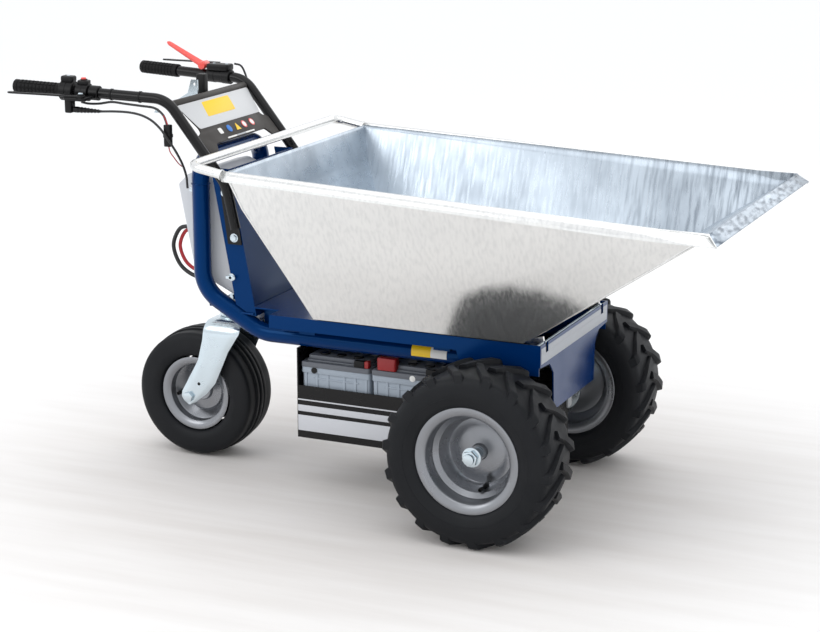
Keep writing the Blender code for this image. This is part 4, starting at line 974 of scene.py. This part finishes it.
def build_right_controls():
    """Throttle body, switch housing with its collar, and the red run button."""
    sign = -1
    housing = [(BAR_BORE, 0), (0.0225, 0), (0.0240, 0.0015), (0.0240, 0.0155), (0.0232, 0.0160),
               (0.0232, 0.0175),
               (0.0240, 0.0180), (0.0240, 0.0320), (0.0225, 0.0335), (BAR_BORE, 0.0335)]
    cap = box((-0.016, -0.012, 0.020), (0.016, 0.014, 0.0355), 0.004, 0.006)
    screw = rod((0.0, 0.001, 0.0352), (0.0, 0.001, 0.0360), 0.0042, 20, edge=0.0003)
    mesh_piece("throttle_body", merged(turned_on_bar(housing, -1.083, sign), on_bar(cap, -1.100, sign)),
               BLACK, "chassis",
               ["throttle_housing"])
    mesh_piece("throttle_screw", on_bar(screw, -1.100, sign), ZINC, "chassis")
    switch = [(BAR_BORE, 0), (0.0200, 0), (0.0210, 0.001), (0.0210, 0.0145), (0.0205, 0.015),
              (0.0210, 0.0155), (0.0210, 0.029),
              (0.0200, 0.030), (BAR_BORE, 0.030)]
    top = box((-0.013, -0.012, 0.017), (0.013, 0.012, 0.0285), 0.0025, 0.005)
    turn = np.linspace(0, 2 * math.pi, 28, endpoint=False)
    section = np.array([(0.0065, 0.0270), (0.0085, 0.0270), (0.0085, 0.0300), (0.0078, 0.0308),
                        (0.0065, 0.0308)])
    collar = np.stack([np.outer(np.cos(turn), section[:, 0]), np.outer(np.sin(turn), section[:, 0]),
                       np.broadcast_to(section[:, 1], (len(turn), len(section)))], -1)
    shapes = merged(turned_on_bar(switch, -1.044, sign), on_bar(top, -1.059, sign),
                    on_bar(grid(collar, wrap_rows=True, wrap_columns=True), -1.059, sign))
    mesh_piece("switch_body", shapes, BLACK, "chassis", ["switch_housing"])
    at = bar_point(-1.059, sign)
    mesh_piece("button_cap", rod(at + [0, 0, 0.0285], at + [0, 0, 0.0345], 0.0060, 28, edge=0.0012), RED,
               "button",
               ["run_button"])
    build_brake()


def build_brake():
    """Perch with its clamp, arm and cable stop, and the thin lever with its rolled edge and rounded end."""
    sign = -1
    base = bar_point(-1.030, sign)
    clamp = [(BAR_BORE, 0), (0.0165, 0), (0.0175, 0.001), (0.0175, 0.022), (0.0165, 0.023), (BAR_BORE, 0.023)]
    arm = box(base + [-0.011, -0.066, -0.012], base + [0.010, -0.0135, -0.004], 0.002, 0.008)
    reach = box(base + [-0.048, -0.066, -0.012], base + [-0.004, -0.032, -0.004], 0.002, 0.008)
    drop = box(base + [-0.048, -0.060, -0.042], base + [-0.030, -0.038, -0.006], 0.003, 0.004)
    cheek = rod(base + [-0.004, -0.056, -0.0045], base + [-0.004, -0.056, 0.0040], 0.0085, 28)
    ears = box(base + [-0.012, 0.0120, -0.008], base + [0.008, 0.0200, 0.008], 0.002)
    mesh_piece("brake_perch_body", merged(turned_on_bar(clamp, -1.018, sign), arm, reach, drop, cheek, ears),
               BLACK, "chassis",
               ["brake_perch"])
    pins = merged(hexagon(base + [-0.004, -0.056, 0], "Z", 0.0060, 0.0040, 0.0075, 0.0006),
                  rod(base + [-0.002, 0.0195, 0], base + [-0.002, 0.0225, 0], 0.0042, 16))
    mesh_piece("perch_screws", pins, ZINC, "chassis")
    pivot = base + [-0.004, -0.056, 0]
    outline = [(0.012, -0.008), (0.008, 0.012), (-0.030, 0.010), (-0.110, 0.0035), (-0.184, -0.003),
               (-0.195, -0.006),
               (-0.196, -0.015), (-0.184, -0.0175), (-0.110, -0.0125), (-0.034, -0.010)]
    outline = corner_arcs(np.array(outline) + pivot[:2], 0.020, 6)
    lever = prism(outline, base[2] - 0.0033, base[2] + 0.0013, 0.0014, flat("Z"))
    mesh_piece("brake_lever_blade", lever, BLACK_PAINT, "brake", ["brake_lever"])
    boot = base + [-0.0275, -0.049, -0.034]
    tip = boot + [0.067, 0.010, -0.002]
    at = np.linspace(0, 1, 33)
    wide = np.interp(at, [0, 0.12, 0.2, 1.0],
                     [0.0070, 0.0075, 0.0070, 0.0035]) + 0.0007 * np.sin(at * 16 * math.pi) * (at > 0.2)
    mesh_piece("boot_bellows", sweep(boot + np.outer(at, tip - boot), wide, 20), BLACK, "chassis",
               ["cable_boot"])


def build_left_controls():
    """The clamp with its lever block, the tapered red parking lever on a hub, and the thin release lever."""
    sign = 1
    base = bar_point(-0.935, sign)
    clamp = [(BAR_BORE, 0), (0.0170, 0), (0.0180, 0.001), (0.0180, 0.022), (0.0172, 0.023), (0.0172, 0.044),
             (0.0180, 0.045),
             (0.0180, 0.066), (0.0170, 0.067), (BAR_BORE, 0.067)]
    top = box(base + [-0.015, -0.018, 0.0135], base + [0.047, 0.016, 0.030], 0.004, 0.006)
    mesh_piece("lever_clamp", merged(turned_on_bar(clamp, -0.885, sign), top), BLACK, "chassis",
               ["clamp_housing"])
    screws = [rod(base + [x, -0.002, 0.0295], base + [x, -0.002, 0.0310], 0.0038, 18, edge=0.0004)
              for x in (0.036, 0.000)]
    mesh_piece("clamp_screws", merged(*screws), ZINC, "chassis")
    pivot = base + [-0.030, 0.0, 0.0245]
    root, end = pivot + [0.004, 0, -0.004], pivot + [-0.105, 0, 0.052]
    at = np.linspace(0, 1, 30)
    wide = np.interp(at, [0, 0.10, 0.45, 0.93, 0.975, 1.0], [0.0085, 0.0085, 0.0072, 0.0056, 0.0045, 0.0018])
    lever = merged(sweep(root + np.outer(at, end - root), wide, 28),
                   rod(pivot + [0, -0.016, 0], pivot + [0, 0.014, 0], 0.010, 36, edge=0.0015))
    mesh_piece("parking_lever_red", lever, RED, "parking", ["parking_lever"])
    outer = base + [-0.012, 0.030, 0.0275]
    outline = [(0.010, -0.006), (0.010, 0.008), (-0.020, 0.008), (-0.085, 0.005), (-0.150, 0.004),
               (-0.156, -0.002),
               (-0.150, -0.008), (-0.085, -0.0065), (-0.020, -0.006)]
    outline = corner_arcs(np.array(outline) + outer[:2], 0.012, 6)
    mesh_piece("release_blade", prism(outline, outer[2] - 0.0019, outer[2] + 0.0019, 0.0012, flat("Z")),
               BLACK_PAINT, "release",
               ["release_lever"])


# ---------------------------------------------------------------- dash and latch
def dash_frame(shape):
    """A shape drawn with x across to the left, y down the dash's slope and z off its face, set on the
    dash.
    """
    down, out = (DASH_ALONG, 0, -DASH_DOWN), (DASH_DOWN, 0, DASH_ALONG)
    return placed(shape, (DASH_X, 0, DASH_Z), (0, 1, 0), down, out)


def turned_down(shape):
    """Turns each face round, for a shape placed with its handedness changed."""
    return shape[0], [tuple(reversed(face)) for face in shape[1]]


def build_dash():
    """Dash panel with its top roll, a plain silver face sheet, and generic printed marks with no
    lettering.
    """
    half = [(0.174, 0.0), (0.174, 0.018), (0.160, 0.030), (0.152, 0.060), (0.146, 0.080), (0.150, 0.092),
            (0.172, 0.100),
            (0.172, 0.150), (0.134, 0.150), (0.120, 0.130)]
    outline = corner_arcs(half + [(-y, v) for y, v in reversed(half)], 0.006, 4)
    panel = dash_frame(prism(outline, -0.0040, 0.0, 0.0010, flat("Z")))
    low = np.array([DASH_X + DASH_ALONG * 0.004 - DASH_DOWN * 0.0075, 0,
                    DASH_Z - DASH_DOWN * 0.004 - DASH_ALONG * 0.0065])
    roll = rod(low + [0, -0.1755, 0.001], low + [0, 0.1755, 0.001], 0.0105, 28, edge=0.002)
    mesh_piece("dash_shell", merged(turned_down(panel), roll), DASH, "chassis",
               ["dash_panel"])
    face = [(0.172, 0.011), (0.148, 0.084), (-0.144, 0.084), (-0.172, 0.011)]
    sheet = turned_down(dash_frame(prism(corner_arcs(face, 0.006, 4), 0.0, 0.0006, 0.0002, flat("Z"))))
    mesh_piece("dash_face", sheet, DASH_FACE, "chassis")

    def print_on(name, outline, finish, corner=0.004):
        outline = corner_arcs(outline, corner, 4)
        mesh_piece(name, turned_down(dash_frame(prism(outline, 0.0005, 0.0009, 0.0001, flat("Z")))), finish,
                   "chassis")

    print_on("dash_badge", [(-0.0757, 0.0588), (-0.063, 0.018), (0.0657, 0.018), (0.0562, 0.0588)], YELLOW)
    circle = [(math.cos(a), math.sin(a)) for a in np.arange(20) * math.pi / 10]
    print_on("dash_mark_square", [(-0.079, 0.095), (-0.062, 0.095), (-0.062, 0.111), (-0.079, 0.111)], WHITE)
    for index, (x, finish) in enumerate(((-0.0278, PRINT_BLUE), (0.0449, RED), (0.0831, RED))):
        print_on(f"dash_mark_ring_{index}", [(x + 0.0100 * u, 0.103 + 0.0100 * v) for u, v in circle], finish,
                 0.0005)
        if index:
            inner = np.array([(x + 0.0072 * u, 0.103 + 0.0072 * v) for u, v in circle])
            disc = prism(inner, 0.0008, 0.0012, 0.0001, flat("Z"))
            mesh_piece(f"dash_mark_disc_{index}", turned_down(dash_frame(disc)), WHITE, "chassis")
    print_on("dash_mark_triangle", [(0.0097, 0.0930), (0.0205, 0.1130), (-0.0010, 0.1130)], YELLOW, 0.002)
    for index, (x, finish) in enumerate(((-0.0614, WHITE), (-0.0174, GREY_PRINT), (0.0266, WHITE))):
        print_on(f"dash_strip_{index}", [(x, 0.1235), (x + 0.043, 0.1235), (x + 0.043, 0.1275), (x, 0.1275)],
                 finish, 0.0005)
    repaint("latch_bracket", ZINC, 0.0006)
    lever = box((-0.883, 0.012, 0.826), (-0.859, 0.032, 0.947), 0.003, 0.004)
    mesh_piece("latch_lever_post", lever, BLACK, "latch", ["latch_lever"])


# ---------------------------------------------------------------- cables, all held at both ends
BRAKE_ROUTE = ((-0.9895, -0.2445, 0.8850), (-0.955, -0.240, 0.8865), (-0.920, -0.236, 0.886),
               (-0.890, -0.232, 0.881),
               (-0.863, -0.2295, 0.8695), (-0.841, -0.2275, 0.851), (-0.824, -0.2265, 0.829),
               (-0.811, -0.216, 0.8024),
               (-0.8045, -0.196, 0.768), (-0.8045, -0.178, 0.735), (-0.8045, -0.1735, 0.705))
HARNESS_ROUTE = ((-1.066, -0.2095, 0.8975), (-1.046, -0.2090, 0.8950), (-1.018, -0.207, 0.8965),
                 (-0.985, -0.205, 0.9020),
                 (-0.949, -0.204, 0.8998), (-0.909, -0.203, 0.8975), (-0.8696, -0.205, 0.8950),
                 (-0.8461, -0.2095, 0.8835),
                 (-0.837, -0.212, 0.872), (-0.8325, -0.213, 0.8612))
LOWER_ROUTE = ((-0.829, -0.214, 0.8120), (-0.8265, -0.212, 0.7959), (-0.820, -0.205, 0.7811),
               (-0.8165, -0.192, 0.766),
               (-0.8145, -0.180, 0.757))
LOOP_ROUTE = ((-0.8451, -0.055, 0.585), (-0.872, -0.055, 0.5845), (-0.900, -0.055, 0.575),
              (-0.918, -0.055, 0.5336),
              (-0.903, -0.055, 0.490), (-0.872, -0.055, 0.466), (-0.835, -0.055, 0.4595),
              (-0.800, -0.055, 0.4730))
LEFT_ROUTE = ((-0.884, 0.208, 0.948), (-0.866, 0.212, 0.942), (-0.852, 0.213, 0.912), (-0.840, 0.206, 0.878),
              (-0.830, 0.188, 0.852), (-0.815, 0.168, 0.838), (-0.792, 0.150, 0.822), (-0.786, 0.145, 0.812),
              (-0.786, 0.142, 0.7990))


def build_cables():
    """Cables along their routes, the connector block, and its thin red and white wires."""
    def cable(name, route, radius, finish, stands_for):
        mesh_piece(name, sweep(smooth(route), radius, 16), finish, "chassis", [stands_for])

    cable("brake_outer_cable", BRAKE_ROUTE, 0.0028, CABLE, "brake_cable")
    cable("harness_sleeve", HARNESS_ROUTE, 0.0028, CABLE, "harness")
    cable("battery_loop_black", LOOP_ROUTE, 0.0050, CABLE, "battery_lead_black")
    red = [(-0.845 + (x + 0.845) * 0.84, y + 0.012, 0.5265 + (z - 0.5265) * 0.84) for x, y, z in LOOP_ROUTE]
    red[0] = (-0.8430, red[0][1], red[0][2])
    red[-1] = (-0.8150, red[-1][1], 0.4750)
    cable("battery_loop_red", red, 0.0045, CABLE_RED, "battery_lead_red")
    cable("left_outer_cable", LEFT_ROUTE, 0.0025, CABLE, "left_cable")
    block = [box((-0.8375, -0.221, 0.8085), (-0.8205, -0.207, 0.8600), 0.002),
             box((-0.8385, -0.2215, 0.8300), (-0.8195, -0.2065, 0.8380), 0.001)]
    mesh_piece("connector_block", merged(*block), BLACK, "chassis", ["connector_lead"])
    route = smooth(LOWER_ROUTE)
    for label, shift, finish in (("red", (0.0016, -0.0016, 0), CABLE_RED),
                                 ("white", (-0.0016, 0.0016, 0), CABLE_WHITE)):
        mesh_piece(f"lead_{label}", sweep(route + np.array(shift), 0.0013, 12), finish, "chassis")
        top = smooth([(-0.831, -0.213, 0.860), (-0.8345, -0.2125, 0.868), (-0.843, -0.2105, 0.8805)])
        mesh_piece(f"lead_top_{label}", sweep(top + np.array(shift), 0.0013, 12), finish, "chassis")


for build in (build_wheels, build_caster, build_tub, build_frame, build_bulkhead, build_chassis, build_cover,
              build_drive,
              build_batteries, build_handlebars, build_right_controls, build_left_controls, build_dash,
              build_cables):
    build()


# ---------------------------------------------------------------- studio
def area_light(name, place, target, size, power):
    """A soft rectangular light at a place, turned to its target."""
    data = bpy.data.lights.new(name, "AREA")
    data.shape = "RECTANGLE"
    data.size, data.size_y = size
    data.energy = power
    light = bpy.data.objects.new(name, data)
    bpy.context.scene.collection.objects.link(light)
    light.location = place
    aim = mathutils.Vector(target) - mathutils.Vector(place)
    light.rotation_euler = aim.to_track_quat("-Z", "Y").to_euler()


def build_studio():
    """A pale sweep of floor, darker and warmer round the machine as painted shade, soft light from above and
    both sides, and a near-white surround.
    """
    floor_mesh = bpy.data.meshes.new("studio_floor")
    reach, back = 30.0, 60.0
    floor_mesh.from_pydata([(-reach, -reach, 0), (reach, -reach, 0), (reach, back, 0), (-reach, back, 0)], [],
                           [(0, 1, 2, 3)])
    floor_finish = shader("studio_floor_paint", (0.86, 0.852, 0.842), 0.6, 0.0, 0.0, 0.2)
    nodes, links = floor_finish.node_tree.nodes, floor_finish.node_tree.links
    reach_out = nodes.new("ShaderNodeVectorMath")
    reach_out.operation = "LENGTH"
    links.new(nodes.new("ShaderNodeTexCoord").outputs["Object"], reach_out.inputs[0])
    # Painted shade: the floor is darker and warmer near the machine, grading out to pale between 0.6 m and
    # 1.9 m from the middle.
    far = ramp(floor_finish, reach_out.outputs["Value"], 0.0, 1.0, 0.6, 1.9)
    grain = ramp(floor_finish, noise(floor_finish, 3.0, (0.6, 5.0, 1.0), 5.0), 0.0, 1.0)
    near = blend_colour(floor_finish, grain, (0.72, 0.690, 0.665), (0.78, 0.755, 0.735))
    feed(floor_finish, "Base Color", blend_colour(floor_finish, far, near, (0.96, 0.965, 0.965)))
    floor_mesh.materials.append(floor_finish)
    floor = bpy.data.objects.new("studio_floor", floor_mesh)
    bpy.context.scene.collection.objects.link(floor)
    area_light("top_softbox", (0.3, -0.4, 3.4), (0, 0, 0.4), (3.6, 2.8), 26)
    area_light("key_softbox", (-2.4, -3.2, 2.6), (0, 0, 0.5), (2.4, 1.8), 30)
    area_light("back_softbox", (0.6, 3.4, 2.4), (0, 0, 0.6), (3.4, 1.6), 12)
    world = bpy.data.worlds.new("studio_surround")
    world.use_nodes = True
    world.node_tree.nodes["Background"].inputs["Color"].default_value = (0.92, 0.93, 0.95, 1)
    world.node_tree.nodes["Background"].inputs["Strength"].default_value = 1.12
    bpy.context.scene.world = world
    bpy.context.scene.view_settings.view_transform = "Standard"


def build_camera():
    """The three-quarter view from the machine's right, a little above the tub's rim."""
    data = bpy.data.cameras.new("camera")
    data.sensor_width = 36.0
    data.lens = 90.6
    camera = bpy.data.objects.new("camera", data)
    bpy.context.scene.collection.objects.link(camera)
    camera.location = (1.98825, -4.3191, 1.6327)
    aim = mathutils.Vector((0.04455, 0.0, 0.4054)) - camera.location
    camera.rotation_euler = aim.to_track_quat("-Z", "Y").to_euler()
    bpy.context.scene.camera = camera


build_studio()
build_camera()
